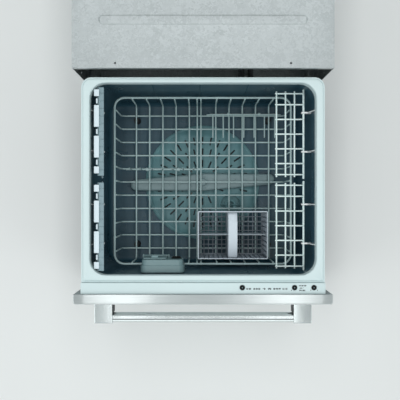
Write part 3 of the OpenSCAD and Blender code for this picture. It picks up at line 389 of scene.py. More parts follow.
def add(tree, kind, inputs=(), **settings):
    """One node with its settings; an input is a value or the output socket that feeds it."""
    made = tree.nodes.new(kind)
    for key, value in settings.items():
        setattr(made, key, value)
    for key, value in dict(inputs).items():
        if isinstance(value, bpy.types.NodeSocket):
            tree.links.new(value, made.inputs[key])
        else:
            made.inputs[key].default_value = value
    return made


def finish_maker(add_nodes):
    """Turns a function that adds a finish's nodes into one that makes the named material once."""

    @functools.wraps(add_nodes)
    def make(name, *colours_and_numbers, **sockets):
        material = bpy.data.materials.get(name)
        if material is None:
            material = bpy.data.materials.new(name)
            material.use_nodes = True
            tree = material.node_tree
            tree.nodes.clear()
            place = add(tree, "ShaderNodeTexCoord").outputs["Object"]
            add_nodes(tree, place, *colours_and_numbers, **sockets)
        return material

    return make


def ended(tree, sockets):
    """The shader that takes a finish's values, and the output."""
    shader = add(tree, "ShaderNodeBsdfPrincipled", sockets)
    add(tree, "ShaderNodeOutputMaterial", {"Surface": shader.outputs[0]})


def spread(tree, value, low, high):
    """A 0 to 1 pattern spread between two numbers."""
    return add(tree, "ShaderNodeMapRange", {0: value, 1: 0.3, 2: 0.7, 3: low, 4: high}).outputs[0]


def shaded(tree, value, first, second):
    """A pattern that fades between two colours."""
    return add(tree, "ShaderNodeMix", {0: value, 6: first, 7: second}, data_type="RGBA").outputs[2]


@finish_maker
def moulded(tree, place, dark, light, rough, grain=1.4, depth=0.12, **sockets):
    """Injection-moulded thermoplastic. The tool's spark-eroded grain gives it a soft broken gloss.

    Grain is the spacing of the texture in millimetres, drawn coarser than the real 0.2 so that it shows.
    """
    fine = add(tree, "ShaderNodeTexNoise", {"Vector": place, "Scale": 1000 / grain, "Detail": 2.0})
    flow = add(tree, "ShaderNodeTexNoise", {"Vector": place, "Scale": 1000 / 90, "Detail": 3.0})
    bump = add(tree, "ShaderNodeBump", {"Height": fine.outputs[0], "Strength": depth, "Distance": 0.0004})
    ended(tree, {
        "Base Color": shaded(tree, flow.outputs[0], linear(dark), linear(light)),
        "Roughness": spread(tree, flow.outputs[0], rough - 0.05, rough + 0.06),
        "Normal": bump.outputs[0], **sockets,
    })


@finish_maker
def brushed(tree, place, dark, light, rough, along=(60, 0.5, 0.5), depth=0.1, round_piece=False):
    """Stainless steel drawn over an abrasive belt: long hairlines one way and a stretched sheen.

    Along gives the length and the spacing of the hairlines in millimetres on X, Y and Z; the real
    spacing of 0.1 is drawn at 0.5 so that it shows. A gloss is drawn out across the hairlines, which
    lie along X on the front and round the bar on a polished tube.
    """
    scale = tuple(1000 / length for length in along)
    stretch = add(tree, "ShaderNodeMapping", {"Vector": place, "Scale": scale})
    lines = add(tree, "ShaderNodeTexNoise", {"Vector": stretch.outputs[0], "Scale": 1.0, "Detail": 3.0})
    cloud = add(tree, "ShaderNodeTexNoise", {"Vector": place, "Scale": 1000 / 160, "Detail": 2.0})
    bump = add(tree, "ShaderNodeBump", {"Height": lines.outputs[0], "Strength": depth, "Distance": 0.0003})
    if round_piece:
        across = add(tree, "ShaderNodeCombineXYZ", {"X": 1.0})
    else:
        facing = add(tree, "ShaderNodeNewGeometry").outputs["Normal"]
        across = add(tree, "ShaderNodeVectorMath", {0: (1.0, 0.0, 0.0), 1: facing}, operation="CROSS_PRODUCT")
    ended(tree, {
        "Base Color": shaded(tree, lines.outputs[0], linear(dark), linear(light)),
        "Metallic": 1.0,
        "Roughness": spread(tree, cloud.outputs[0], rough - 0.04, rough + 0.06),
        "Anisotropic": 0.85,
        "Tangent": across.outputs[0],
        "Normal": bump.outputs[0],
    })


@finish_maker
def galvanised(tree, place, dark, light):
    """Hot-dip galvanised sheet: zinc crystals a few millimetres across, each with its own dull sheen."""
    warp = add(tree, "ShaderNodeTexNoise", {"Vector": place, "Scale": 1000 / 9, "Detail": 2.0})
    bent = add(tree, "ShaderNodeMix", {0: 0.06, 4: place, 5: warp.outputs["Color"]}, data_type="VECTOR")
    spangle = add(tree, "ShaderNodeTexVoronoi", {"Vector": bent.outputs[1], "Scale": 1000 / 11})
    tone = add(tree, "ShaderNodeSeparateColor", {0: spangle.outputs["Color"]}).outputs[0]
    ended(tree, {
        "Base Color": shaded(tree, tone, linear(dark), linear(light)),
        "Metallic": 1.0,
        "Roughness": add(tree, "ShaderNodeMapRange", {0: tone, 3: 0.36, 4: 0.5}).outputs[0],
    })


@finish_maker
def plated(tree, place, dark, light, rough):
    """Bright zinc-plated or machined steel: smooth, with faint handling marks."""
    marks = add(tree, "ShaderNodeTexNoise", {"Vector": place, "Scale": 1000 / 25, "Detail": 5.0})
    ended(tree, {
        "Base Color": shaded(tree, marks.outputs[0], linear(dark), linear(light)),
        "Metallic": 1.0,
        "Roughness": spread(tree, marks.outputs[0], rough - 0.05, rough + 0.1),
    })


@finish_maker
def green_board(tree, place):
    """Glass-fibre circuit board under green solder mask, its copper tracks showing as paler lines."""
    tracks = add(tree, "ShaderNodeTexBrick", {
        "Vector": place, "Scale": 1000 / 6, "Color1": linear("#0f4a2c"), "Color2": linear("#12553a"),
        "Mortar": linear("#2f8a5c"), "Mortar Size": 0.04,
    })
    ended(tree, {"Base Color": tracks.outputs[0], "Roughness": 0.35})


def finishes():
    """Every finish of the machine by its key, which is the record's slot name where it has a slot."""
    colours = bpy.context.scene.drawer_colours
    shown = {key: "#" + "".join(f"{round(255 * c):02x}" for c in getattr(colours, key))
             for key in ("rim", "tub", "steel", "wire", "basket", "comb")}
    return {
        "chassis_steel": galvanised("galvanised_sheet", "#b3babb", "#c9cfd0"),
        "runner_steel": plated("zinc_plated_steel", "#8f979b", "#b4bbbe", 0.3),
        "front_steel": brushed("brushed_stainless", "#c6cdcd", shown["steel"], 0.3, (70, 0.6, 0.6)),
        "handle_steel": brushed("satin_stainless", "#c3cbcb", "#dfe5e5", 0.19, (0.8, 30, 30), 0.04, True),
        "rim_plastic": moulded("pale_abs", "#c8d8d9", shown["rim"], 0.36, 1.2, 0.05),
        # The tub is a medium teal-grey moulding; its colour here is darkened to slate as painted shade for
        # its deep, shadowed inside
        "tub_plastic": moulded("tub_polypropylene_painted_shade", "#24434f", shown["tub"], 0.3, 1.6, 0.1,
                               **{"Specular IOR Level": 0.38}),
        "dark_plastic": moulded("black_polyamide", "#232628", "#2f3335", 0.5),
        "frame_grey": moulded("grey_glass_filled_polyamide", "#7d898b", "#909c9e", 0.5),
        "lid_plastic": moulded("white_polypropylene", "#d4d8d8", "#e2e5e5", 0.42),
        "seal_rubber": moulded("epdm_rubber", "#1b1c1d", "#292b2c", 0.68, 0.9, 0.2),
        "button_black": moulded("gloss_black_abs", "#050708", "#0c0f10", 0.5, 1.0, 0.05,
                                **{"Specular IOR Level": 0.25}),
        "board_green": green_board("solder_mask"),
        "motor_case": plated("cast_aluminium", "#6f7476", "#8e9395", 0.48),
        "rotor_plastic": moulded("ivory_acetal", "#d2d1c8", "#deddd6", 0.35),
        "heater_steel": brushed("rolled_heater_plate", "#4c5254", "#666c6e", 0.42, (0.8, 30, 30)),
        "filter_grey": moulded("teal_polypropylene", "#4c7378", "#66959b", 0.4),
        "arm_grey": moulded("grey_teal_polypropylene", "#6a8286", "#84999c", 0.36),
        "rack_coating": moulded("nylon_coated_wire", "#93acad", shown["wire"], 0.32, 2.2, 0.08),
        # The cup shelves' coating is the base rack's nylon drawn much paler: painted light, for the high
        # shelves that catch more light
        "cup_wire_painted_light": moulded("nylon_coated_wire_painted_light", "#cfe6e4", "#edfaf8", 0.3, 2.2, 0.06),
        "comb_plastic": moulded("pale_blue_acetal", "#cfdde2", shown["comb"], 0.34),
        # A darker copy of the combs' pale acetal for their back and shelf: painted shade, since these lie
        # lower and in shadow
        "comb_painted_shade": moulded("acetal_painted_shade", "#6f878f", "#8fa6ad", 0.4),
        "basket_plastic": moulded("smoky_lattice_polypropylene", "#66727c", "#7f8c97", 0.34,
                                  **{"Transmission Weight": 0.12}),
        "basket_edge": moulded("pale_polypropylene", "#d6e3e8", shown["basket"], 0.36),
        "clip_white": moulded("white_acetal", "#dfe3e3", "#f0f2f2", 0.28, 1.0, 0.03),
        "dispenser_grey": moulded("smoky_polypropylene", "#6d8b8f", "#86a3a6", 0.3,
                                  **{"Transmission Weight": 0.2}),
        "hose_rubber": moulded("grey_hose_rubber", "#3b3e40", "#4d5153", 0.6, 0.9, 0.15),
        "valve_plastic": moulded("white_polyamide", "#dadbd8", "#e8e9e6", 0.35),
        "screw_steel": plated("machined_steel", "#9aa0a2", "#bcc2c3", 0.26),
    }


# ---------------------------------------------------------------- front


def front_skin():
    """Steel tray: rectangles carried back from the front face, pulled in along a quarter round."""
    low, high = PANEL_LOW, PANEL_HIGH
    width, height = high[0] - low[0], high[2] - low[2]
    depth, sheet = high[1] - low[1], 1.2
    roll, top_roll = 6.0, 1.2
    middle = (low[2] + high[2]) / 2

    def ring(inset_x, inset_z, v, corner=1.2):
        return upright(ring_rect(width - 2 * inset_x, height - 2 * inset_z, corner, 3, 24), v, (0, middle))

    rings = [ring(roll, sheet + top_roll, -depth + sheet), ring(sheet, sheet, -depth + roll)]
    rings += [ring(sheet, sheet, 0), ring(0, 0, 0), ring(0, 0, -depth + roll)]
    for a in np.linspace(0, math.pi / 2, 9)[1:]:
        fall = 1 - math.cos(a)
        rings.append(ring(roll * fall, top_roll * fall, -depth + roll - roll * math.sin(a)))
    return skin(rings)


def handle_post():
    """Square post of the right side: upright rectangles carried along X, then the bar's bore."""
    x0, x1 = 213.0, 255.0
    out, high = HANDLE_OUT, 32.0
    y_mid, bar_y = PANEL_LOW[1] - out / 2, PANEL_LOW[1] - BAR_OUT

    def ring(inset, x, corner=2.0):
        flat = ring_rect(out - 2 * inset, high - 2 * inset, max(corner - inset, 0.3), 4, 6)
        return np.column_stack([np.full(len(flat), x), flat[:, 0] + y_mid, flat[:, 1] + HANDLE_Z])

    soft = 2.0
    rings = [ring(soft - soft * math.sin(a), x1 - soft + soft * math.cos(a))
             for a in np.linspace(0, math.pi / 2, 5)]
    rings += [ring(0, x0 + 0.3), ring(0.3, x0)]
    mouth = rings[-1][:, 1:]
    for radius, x in ((BAR_R + 0.35, x0), (BAR_R + 0.06, x0 + 0.6), (BAR_R + 0.06, x0 + 25.3)):
        flat = pulled_to_circle(mouth, radius, (bar_y, HANDLE_Z))
        rings.append(np.column_stack([np.full(len(flat), x), flat]))
    return skin(rings)


def front_pieces():
    """The steel front, its two posts, the bar between them and their feet."""
    build("steel_front", [front_skin()], "front_steel", ["front_panel"])
    post = handle_post()
    build("handle_post_right", [post], "handle_steel", ["right_handle_post"])
    build("handle_post_left", [mirrored(post)], "handle_steel", ["left_handle_post"])
    half, bore = 237.9, BAR_R - 1.8
    tube = [(BAR_R, -half), (BAR_R, half), (bore, half), (bore, -half)]
    bar = lathe(tube, (0, PANEL_LOW[1] - BAR_OUT, HANDLE_Z), axis=0, steps=64, loop=True)
    build("handle_tube", [bar], "handle_steel", ["handle_bar"])
    # A dark block on each post's inner side: painted shade standing for that shadowed inner face
    foot = soft_box((210.4, PANEL_LOW[1] - 24, HANDLE_Z - 15), (213.2, PANEL_LOW[1] - 0.05, HANDLE_Z + 15),
                    0.8)
    build("handle_post_shade_strips", [foot, mirrored(foot)], "dark_plastic")


BUTTONS = {"power_button": 91.0, "start_button": 212.0, "lock_button": 257.0}
BUTTON_V = 15.0
STRIP_Z = RIM_Z + 6.0
# A mark's place across, its width, its place along, its share of the numeral height, and its text
MARKS = [(x, width, 10.6, 1.0, text) for x, width, text in (
    (105.5, 11.3, "10 20"), (124.4, 16.2, "30 40 50"), (141.0, 7.0, "60"), (153.9, 8.0, "70"),
    (171.2, 17.0, "80 90 99"), (189.6, 11.3, "12 15"))]
MARKS += [(x, width, v, 0.76, text) for x, width, v, text in (
    (230.5, 17.0, 18.3, "10 20 30"), (228.5, 9.7, 12.6, "4 5 6"), (229.3, 14.6, 7.4, "70 80"))]
DOTS_X = (204.7, 249.5, 264.6)


def strip_shell():
    """Control strip: a pierced top with a skirt round it."""
    half = 283.7
    middle = (0.3 + STRIP_D) / 2

    def outline(inset):
        return ring_rect(2 * (half - inset), STRIP_D - 0.3 - 2 * inset, max(1.5 - inset, 0.2), 3, 1) \
            + np.array([0.0, DRAWER_Y + middle])

    holes = [lambda inset, x=x: ring_circle(6.0 - inset, 32, (x, DRAWER_Y + BUTTON_V))
             for x in BUTTONS.values()]
    return pierced(outline, holes, STRIP_Z - 3, STRIP_Z, 0.9, 2.6, STRIP_Z - 28)


def flat_text(text, x, y, z, size, width):
    """Plain numerals laid flat, made a mesh and spread to a width before they take their place."""
    curve = bpy.data.curves.new("numerals", "FONT")
    curve.body, curve.size, curve.extrude, curve.align_x = text, size * MM, 0.00008, "CENTER"
    curve.offset = size * MM * 0.06
    helper = bpy.data.objects.new("numerals", curve)
    mesh = bpy.data.meshes.new_from_object(helper)
    bpy.data.objects.remove(helper)
    points = np.empty(len(mesh.vertices) * 3)
    mesh.vertices.foreach_get("co", points)
    faces = [list(face.vertices) for face in mesh.polygons]
    bpy.data.meshes.remove(mesh)
    points = points.reshape(-1, 3) / MM
    low, high = points[:, 0].min(), points[:, 0].max()
    points[:, 0] = (points[:, 0] - (low + high) / 2) * width / (high - low)
    return points + np.array([x, y, z]), faces


def strip_pieces():
    """The control strip, its buttons with their lamps, and its numerals and dots."""
    build("control_strip_shell", [strip_shell()], "rim_plastic", ["control_strip"])
    cap = [(0, 0.95), (3.4, 0.95), (4.0, 1.4), (5.2, 1.4), (5.6, 1.2), (5.75, 0.9), (5.75, -3.2), (7.7, -3.3),
           (7.7, -5.1), (0, -5.1)]
    lamp = [(0, 1.2), (0.9, 1.15), (1.15, 1.0), (1.15, 0.9), (0, 0.9)]
    for name, x in BUTTONS.items():
        at = (x, DRAWER_Y + BUTTON_V, STRIP_Z)
        build(name + "_cap", [lathe(cap, at, steps=40)], "button_black", [name], body=name)
        build(name + "_lamp", [lathe(lamp, at, steps=24)], "arm_grey", body=name)
    size = chosen("numerals")
    marks = [flat_text(text, x, DRAWER_Y + v, STRIP_Z + 0.01, size * share, width)
             for x, width, v, share, text in MARKS]
    dot = [(0, 0.06), (1.1, 0.06), (1.1, -0.05), (0, -0.05)]
    marks += [lathe(dot, (x, DRAWER_Y + 9.2, STRIP_Z), steps=16) for x in DOTS_X]
    build("strip_numerals", marks, "dark_plastic")


def rim_shape():
    """Rim frame: the section's outer points follow the rim's outline and its inner points the mouth."""
    width, depth = 568.0, 478.0
    middle = np.array([0.0, DRAWER_Y + STRIP_D + depth / 2])

    def outer(inset, z):
        ring = ring_rect(width - 2 * inset, depth - 2 * inset, 24 - inset)
        front = ring_rect(width - 2 * inset, depth - 2 * inset, max(1.5 - inset, 0.3))
        ring = np.where(ring[:, 1:] < 0, front, ring)
        return level(ring + middle, z)

    def mouth(grow, z):
        return level(ring_rect(MOUTH_W + 2 * grow, MOUTH_D + 2 * grow, MOUTH_R + grow) + TUB_AT, z)

    z = RIM_Z
    rings = [outer(0.3, z - 14), outer(0.3, z - 2.3), outer(0.6, z - 1.7), outer(1.2, z - 1.5),
             outer(3.9, z - 1.5), outer(4.2, z - 2.6), outer(5.0, z - 2.6), outer(5.2, z - 0.5),
             outer(5.7, z), mouth(2.6, z), mouth(1.6, z - 0.25), mouth(0.8, z - 0.9), mouth(0.25, z - 1.8),
             mouth(0, z - 3), mouth(0, z - 23.6), mouth(0.4, z - 24), mouth(2.1, z - 24),
             mouth(2.5, z - 23.6), mouth(2.5, z - 3), outer(2.5, z - 3), outer(2.5, z - 14)]
    return skin(rings, along=True)


# ---------------------------------------------------------------- tub


def draft_at(z):
    """How far the tub's walls have drawn in at a height, growing evenly with the depth."""
    return TUB_DRAFT * (RIM_Z - z) / TUB_DEPTH


def tub_ring(grow, z, cut=0.0):
    """Plan of the tub's inner face at a height, grown by a wall and drawn in by a cut."""
    grow = grow - cut
    ring = ring_rect(2 * (MOUTH_W / 2 + TUB_CLEAR - draft_at(z) + grow),
                     2 * (MOUTH_D / 2 + TUB_CLEAR - draft_at(z) + grow), max(MOUTH_R + grow, 4.0))
    return level(ring + TUB_AT, z)


def tub_shape():
    """Tub: tapering round-cornered rings, a quarter round into the floor, then circles into the sump."""
    fillet, out = 16.0, TUB_WALL
    floor = [(fillet * (1 - math.cos(a)), FLOOR_Z + fillet * (1 - math.sin(a)))
             for a in np.linspace(0, math.pi / 2, 7)]
    inner = [tub_ring(0, z) for z in np.linspace(RIM_Z - 3, FLOOR_Z + fillet, 6)[:-1]]
    inner += [tub_ring(0, z, cut) for cut, z in floor]
    flat = inner[-1][:, :2]
    bowl = [(SUMP_R + 2.5, FLOOR_Z), (SUMP_R + 0.7, FLOOR_Z - 0.8), (SUMP_R, FLOOR_Z - 2.5),
            (SUMP_R, SUMP_Z + 5), (SUMP_R - 1.5, SUMP_Z + 1.5), (SUMP_R - 5, SUMP_Z), (5.3, SUMP_Z),
            (5.3, SUMP_Z - out), (SUMP_R, SUMP_Z - out), (SUMP_R + out, SUMP_Z),
            (SUMP_R + out, FLOOR_Z - out)]
    inner += [level(pulled_to_circle(flat, radius, TUB_AT), z) for radius, z in bowl]
    under, bend = FLOOR_Z - out, fillet - out
    outside = [(bend * (1 - math.cos(a)), under + bend * (1 - math.sin(a)))
               for a in np.linspace(math.pi / 2, 0, 6)]
    outer = [tub_ring(out, max(z, under), cut) for cut, z in outside]
    outer += [tub_ring(out, z) for z in np.linspace(under + bend, RIM_Z - 6, 5)[1:]]
    flange = ring_rect(MOUTH_W + 30, MOUTH_D + 20, 20.0) + TUB_AT
    outer += [level(flange, RIM_Z - 6), level(flange, RIM_Z - 3)]
    return skin(inner + outer, along=True)


def wall_bead(x, rear):
    """Half-round bead down the rear or the front wall of the tub, following its draft."""
    z = np.array([RIM_Z - 26, FLOOR_Z + 20])
    reach = MOUTH_D / 2 + TUB_CLEAR - draft_at(z)
    y = TUB_Y + (reach if rear else -reach)
    return rod(np.column_stack([np.full(2, x), y, z]), 1.6, (1, 0, 0), 8)


def tub_pieces():
    """The tub with its beads and side ribs, and the rim frame on it."""
    shapes = [tub_shape()]
    for x in (-121.0, -6.0, 109.0):
        shapes += [wall_bead(x, True), wall_bead(x + 2, False)]
    for v in np.arange(86.0, 470.0, 70.0):
        rib = soft_box((265.0, DRAWER_Y + v - 1.25, RIM_Z - 127),
                       (273.9, DRAWER_Y + v + 1.25, RIM_Z - 6), 0.4)
        shapes += [rib, mirrored(rib)]
    build("tub_moulding", shapes, "tub_plastic", ["tub"])
    build("rim_moulding", [rim_shape()], "rim_plastic", ["rim_frame"])


# ---------------------------------------------------------------- wash system

FILTER_AT = np.array([0.783, -0.622]) * 99.6
ARM_Z = FLOOR_Z + 13.0
ARM_REACH = 197.9


def slot_ring(radius, half, degrees, at):
    """Outline of a straining slot: a long rounded slit on a ray from the centre."""
    a = math.radians(degrees)

    def ring(inset):
        flat = ring_rect(2 * (half - inset), 2 * (2.0 - inset), max(1.9 - inset, 0.2), 2, 1)
        flat = flat + np.array([radius, 0.0])
        turn = np.array([[math.cos(a), math.sin(a)], [-math.sin(a), math.cos(a)]])
        return flat @ turn + at

    return ring


def filter_disc():
    """Filter plate: a disc pierced by rings of radial slots, with a raised boss in the middle."""
    holes = [lambda inset: ring_circle(30.15 - inset, 40, TUB_AT + FILTER_AT)]
    for radius, count in ((52, 16), (84, 24), (116, 32)):
        for k in range(count):
            a = 2 * math.pi * k / count
            at = radius * np.array([math.cos(a), math.sin(a)])
            if np.linalg.norm(at - FILTER_AT) > 50:
                holes.append(slot_ring(radius, 11.0, 360 * k / count, TUB_AT))
    holes.append(lambda inset: ring_circle(5.4 - inset, 24, TUB_AT))
    plate = pierced(lambda inset: ring_circle(158 - inset, 96, TUB_AT), holes, FLOOR_Z, FLOOR_Z + 2.5, 0.4)
    at = (*TUB_AT, FLOOR_Z)
    boss = lathe([(5.4, 1), (30, 1), (29.4, 4.2), (28.6, 4.5), (15, 4.5), (14, 5), (5.4, 5)], at, loop=True)
    rim = lathe([(150, 2.2), (150.6, 3.4), (154.4, 3.4), (155, 2.2)], at, steps=96, loop=True)
    return [plate, boss, rim]


def arm_outline(shrink):
    """Plan of the spray arm: the reach in each direction of two tapering blades round a hub.

    A blade is the hull of the hub's circle and the tip's circle. Along a ray d the reach is the
    greatest b + sqrt(r squared - (c squared - b squared)), with b = c . d, over the circles of
    centre c and radius r between the two.
    """
    hub_r, tip_r = 24, 15
    near = np.linspace(-0.2, 0.2, 41)
    wide = np.linspace(0.2, math.pi - 0.2, 14)[1:-1]
    angle = np.concatenate([near, wide, near + math.pi, wide + math.pi]) + 0.043
    ray = np.stack([np.cos(angle), np.sin(angle)], -1)
    share = np.linspace(0, 1, 160)
    tip = np.array([ARM_REACH - tip_r, 8.0])
    best = np.zeros(len(angle))
    for sign in (1, -1):
        centre = share[:, None] * tip * sign
        radius = hub_r + (tip_r - hub_r) * share - shrink
        along = ray @ centre.T
        rest = radius ** 2 - ((centre ** 2).sum(1) - along ** 2)
        reach = np.where(rest > 0, along + np.sqrt(np.maximum(rest, 0)), 0)
        best = np.maximum(best, reach.max(1))
    return ray * best[:, None] + TUB_AT


def spray_arm_shapes():
    """Spray arm: its outline drawn in along a crowned edge, a turned hub, and nozzles along both blades."""
    crown = [(4.0, 0.0), (1.2, 0.6), (0.0, 2.2), (0.2, 5.6), (1.4, 7.6), (4.0, 8.7), (9.0, 9.0)]
    blade = skin([level(arm_outline(shrink), ARM_Z + z) for shrink, z in crown])
    hub = lathe([(5.1, 5.3), (18, 5.3), (18, 23), (16.5, 24), (5.1, 24)], (*TUB_AT, FLOOR_Z), loop=True)
    nozzle = [(0, 8.4), (0.9, 8.4), (1.3, 9.6), (2.4, 9.6), (3.4, 8.6), (3.4, 7), (0, 7)]
    shapes = [blade, hub]
    for side in (1, -1):
        for k in range(1, 7):
            at = TUB_AT + np.array([k * (ARM_REACH - 20) / 6, 5 + (k % 2) * 3]) * side
            shapes.append(lathe(nozzle, (*at, ARM_Z), steps=16))
    return shapes


def drain_filter_shapes():
    """Strainer cup: a hollow turned wall with a flange, and a grip bar across it."""
    at = (*(TUB_AT + FILTER_AT), FLOOR_Z)
    wall = lathe([(0, -11), (29.9, -11), (29.9, 2.7), (32.8, 2.9), (33, 4.4), (32.4, 5.3), (28, 5.3),
                  (27, 4.6), (27, -9), (0, -9)], at)
    x, y = at[:2]
    grip = soft_box((x - 29, y - 2, FLOOR_Z + 1), (x + 29, y + 2, FLOOR_Z + 8.5), 1.2)
    ring = lathe([(9, 0.5), (9, 5.5), (10, 6.2), (15, 6.2), (16, 5.5), (16, 0.5)], at, loop=True, steps=32)
    return [wall, grip, ring]


def wash_pieces():
    """The filter plate and cup, the spray arm and its cap, the motor with its fins, and the drain pump."""
    build("filter_disc", filter_disc(), "filter_grey", ["filter_plate"])
    build("strainer_cup", drain_filter_shapes(), "filter_grey", ["drain_filter"], body="drain_filter")
    build("spray_arm_blades", spray_arm_shapes(), "arm_grey", ["spray_arm"], body="spray_arm")
    cap = lathe([(5.05, 0), (11.6, 0), (12, 0.5), (12, 2.6), (10.4, 4.6), (8, 6.6), (7, 7), (0, 7), (0, 4.1),
                 (5.05, 4.1)], (*TUB_AT, corners("arm_cap")[0][2]))
    build("arm_cap_knob", [cap], "arm_grey", ["arm_cap"])
    top = SUMP_Z - 3
    post = corners("motor")[1][2] - top
    case = [(0, -34), (54, -34), (56, -33.6), (63, -30.2), (84, -28.4), (85, -27.4), (85, -13), (84, -12),
            (75.8, -8.4), (75, -7.6), (75, 0), (5, 0), (5, post), (0, post)]
    shapes = [lathe(case, (*TUB_AT, top), steps=72)]
    for k in range(24):
        fin = soft_box((64, TUB_Y - 1, top - 34), (83.5, TUB_Y + 1, top - 8.5), 0.5)
        shapes.append(turned(fin, 15 * k, TUB_AT))
    build("motor_housing", shapes, "motor_case", ["motor"])
    px, py = np.array([0.7465, 0.6654]) * 123.2 + TUB_AT
    body = lathe([(0, -37), (11, -37), (12, -36), (12, -34), (20, -34), (22, -32.4), (22, -20), (20.6, -19.4),
                  (20.6, -17), (22, -16.4), (22, 0), (0, 0)], (px, py, top))
    end_y = corners("drain_pump")[1][1] - 0.2
    pipe = rod([(px + 14, py, top - 14), (px + 14, end_y, top - 14)], 6, (0, 0, 1), 24)
    build("drain_pump_housing", [body, pipe], "dark_plastic", ["drain_pump"])


# ---------------------------------------------------------------- dispenser

DISP_X = (-151.0, -45.0)
DISP_Z = (RIM_Z - 126.0, RIM_Z - 48.0)
DISP_V0, DISP_V1 = 43.4, 74.4
DOOR_X, DOOR_V, DOOR_Z = -117.0, 78.0, 261.0
CAP_X, CAP_Z = -65.0, 291.0


def upright(ring, v, at=(0.0, 0.0)):
    """A flat ring stood up across the machine at a depth v."""
    return np.column_stack([ring[:, 0] + at[0], np.full(len(ring), DRAWER_Y + v), ring[:, 1] + at[1]])


def dispenser_shapes():
    """Dispenser: upright rounded rectangles carried off the wall and drawn in, then the cup's recess."""
    middle = ((DISP_X[0] + DISP_X[1]) / 2, (DISP_Z[0] + DISP_Z[1]) / 2)
    width, height = DISP_X[1] - DISP_X[0], DISP_Z[1] - DISP_Z[0]
    section = [(0, DISP_V0), (0, DISP_V0 + 14), (0.6, DISP_V0 + 16), (2.6, DISP_V0 + 17), (3.0, DISP_V1 - 3),
               (3.9, DISP_V1 - 0.9), (6.0, DISP_V1)]
    rings = [upright(ring_rect(width - 2 * cut, height - 2 * cut, 14 - cut * 0.6, 6, 10), v, middle)
             for cut, v in section]
    shell_points, shell_faces = skin(rings, ends=(True, False))
    face = ring_rect(width - 12, height - 12, 14 - 3.6, 6, 10) + np.array(middle)
    cup_at = np.array([DOOR_X, middle[1] + 2])
    cup = ring_rect(46, 42, 6, 4, 4)
    seat = ring_circle(13.1, 32, (CAP_X, CAP_Z))
    points, faces = filled([face, cup + cup_at, seat], 0)
    front = (upright(points, DISP_V1), faces)
    recess = skin([upright(cup, DISP_V1, cup_at), upright(cup, DISP_V1 - 20, cup_at),
                   upright(cup * 0.9, DISP_V1 - 22, cup_at)], ends=(False, True))
    well = skin([upright(seat, DISP_V1), upright(seat, DISP_V1 - 4)], ends=(False, True))
    shapes = [joined([(shell_points, shell_faces), front, recess, well])]
    for side in (-1, 1):
        x, y = DOOR_X + side * 31.8, DRAWER_Y + DISP_V1
        shapes.append(soft_box((x - 2, y - 1, DOOR_Z - 4), (x + 2, y + 7, DOOR_Z + 4), 0.8))
    return shapes


def door_shapes():
    """Detergent door: a crowned plate with a rolled hinge edge, its pin and a catch rib."""
    section = [(0.6, 0.5), (0.0, 1.0), (0.0, 2.8), (0.8, 3.4), (6.0, 3.9)]
    back, y = DOOR_V - 3.5, DRAWER_Y + DOOR_V
    rings = [upright(ring_rect(58 - 2 * cut, 56 - 2 * cut, 5, 4, 6), back + depth, (DOOR_X, DOOR_Z + 28))
             for cut, depth in section]
    shapes = [skin(rings)]
    for half, radius, sides in ((33, 1.5, 16), (28.6, 3, 24)):
        shapes.append(rod([(DOOR_X - half, y, DOOR_Z), (DOOR_X + half, y, DOOR_Z)], radius, (0, 0, 1), sides))
    shapes.append(soft_box((DOOR_X - 8, y, DOOR_Z + 50), (DOOR_X + 8, y + 5, DOOR_Z + 53), 0.8))
    return shapes


def dispenser_pieces():
    """The detergent dispenser, its door and its rinse-aid cap."""
    build("dispenser_shell", dispenser_shapes(), "dispenser_grey", ["dispenser_body"])
    build("detergent_door", door_shapes(), "dispenser_grey", ["dispenser_door"], body="dispenser_door")
    low = DRAWER_Y + DISP_V1 - 3.7
    cap = lathe([(0, 0), (13, 0), (13, 4.6), (12.2, 5.5), (0, 5.5)], (CAP_X, low, CAP_Z), axis=1)
    grip = soft_box((CAP_X - 10, low + 5, CAP_Z - 1.5), (CAP_X + 10, low + 9, CAP_Z + 1.5), 1.0)
    build("rinse_aid_cap", [cap, grip], "button_black", ["rinse_cap"], body="rinse_cap")


# ---------------------------------------------------------------- racks

WIRE_R, RIM_WIRE_R = 2.0, 2.75
RACK_PITCH = 36.0
BEND_R = 12.0
TINE_Z = RACK_Z + 8.6
RACK_HALF = np.array([228.0, 215.0])


def bent_wire(corner_points, normal):
    """One wire of the rack: up, round a bend, along the floor and up again."""
    return rod(rounded(corner_points, BEND_R, 6), WIRE_R, normal)


def rack_wires():
    """Both sets of bent wires of the base rack, the front-to-back ones lying on the others."""
    end_x, end_y = RACK_HALF - 2 * RIM_WIRE_R - WIRE_R + 0.8
    shapes = []
    for k in range(-5, 6):
        y = TUB_Y + k * RACK_PITCH
        shapes.append(bent_wire([(-end_x, y, RACK_TOP), (-end_x, y, RACK_Z), (end_x, y, RACK_Z),
                                 (end_x, y, RACK_TOP)], (0, 1, 0)))
    y0, y1, z = TUB_Y - end_y, TUB_Y + end_y, RACK_Z + 3.6
    for x in [-14.5, -4.5] + [k * RACK_PITCH for k in range(-5, 6) if k]:
        shapes.append(bent_wire([(x, y0, RACK_TOP), (x, y0, z), (x, y1, z), (x, y1, RACK_TOP)], (1, 0, 0)))
    return shapes


def rack_rim():
    """The thicker wire that closes the rack's top."""
    ring = ring_rect(*(2 * (RACK_HALF - RIM_WIRE_R)), 25, 8, 2)
    return rod(level(ring + TUB_AT, RACK_TOP - 1), RIM_WIRE_R, (0, 0, 1), 14, closed=True)


TINE_ROWS = {"rear_tine_row": (112.0, TUB_Y + 183.0, True), "front_tine_row": (-108.0, TUB_Y + 34.0, False)}


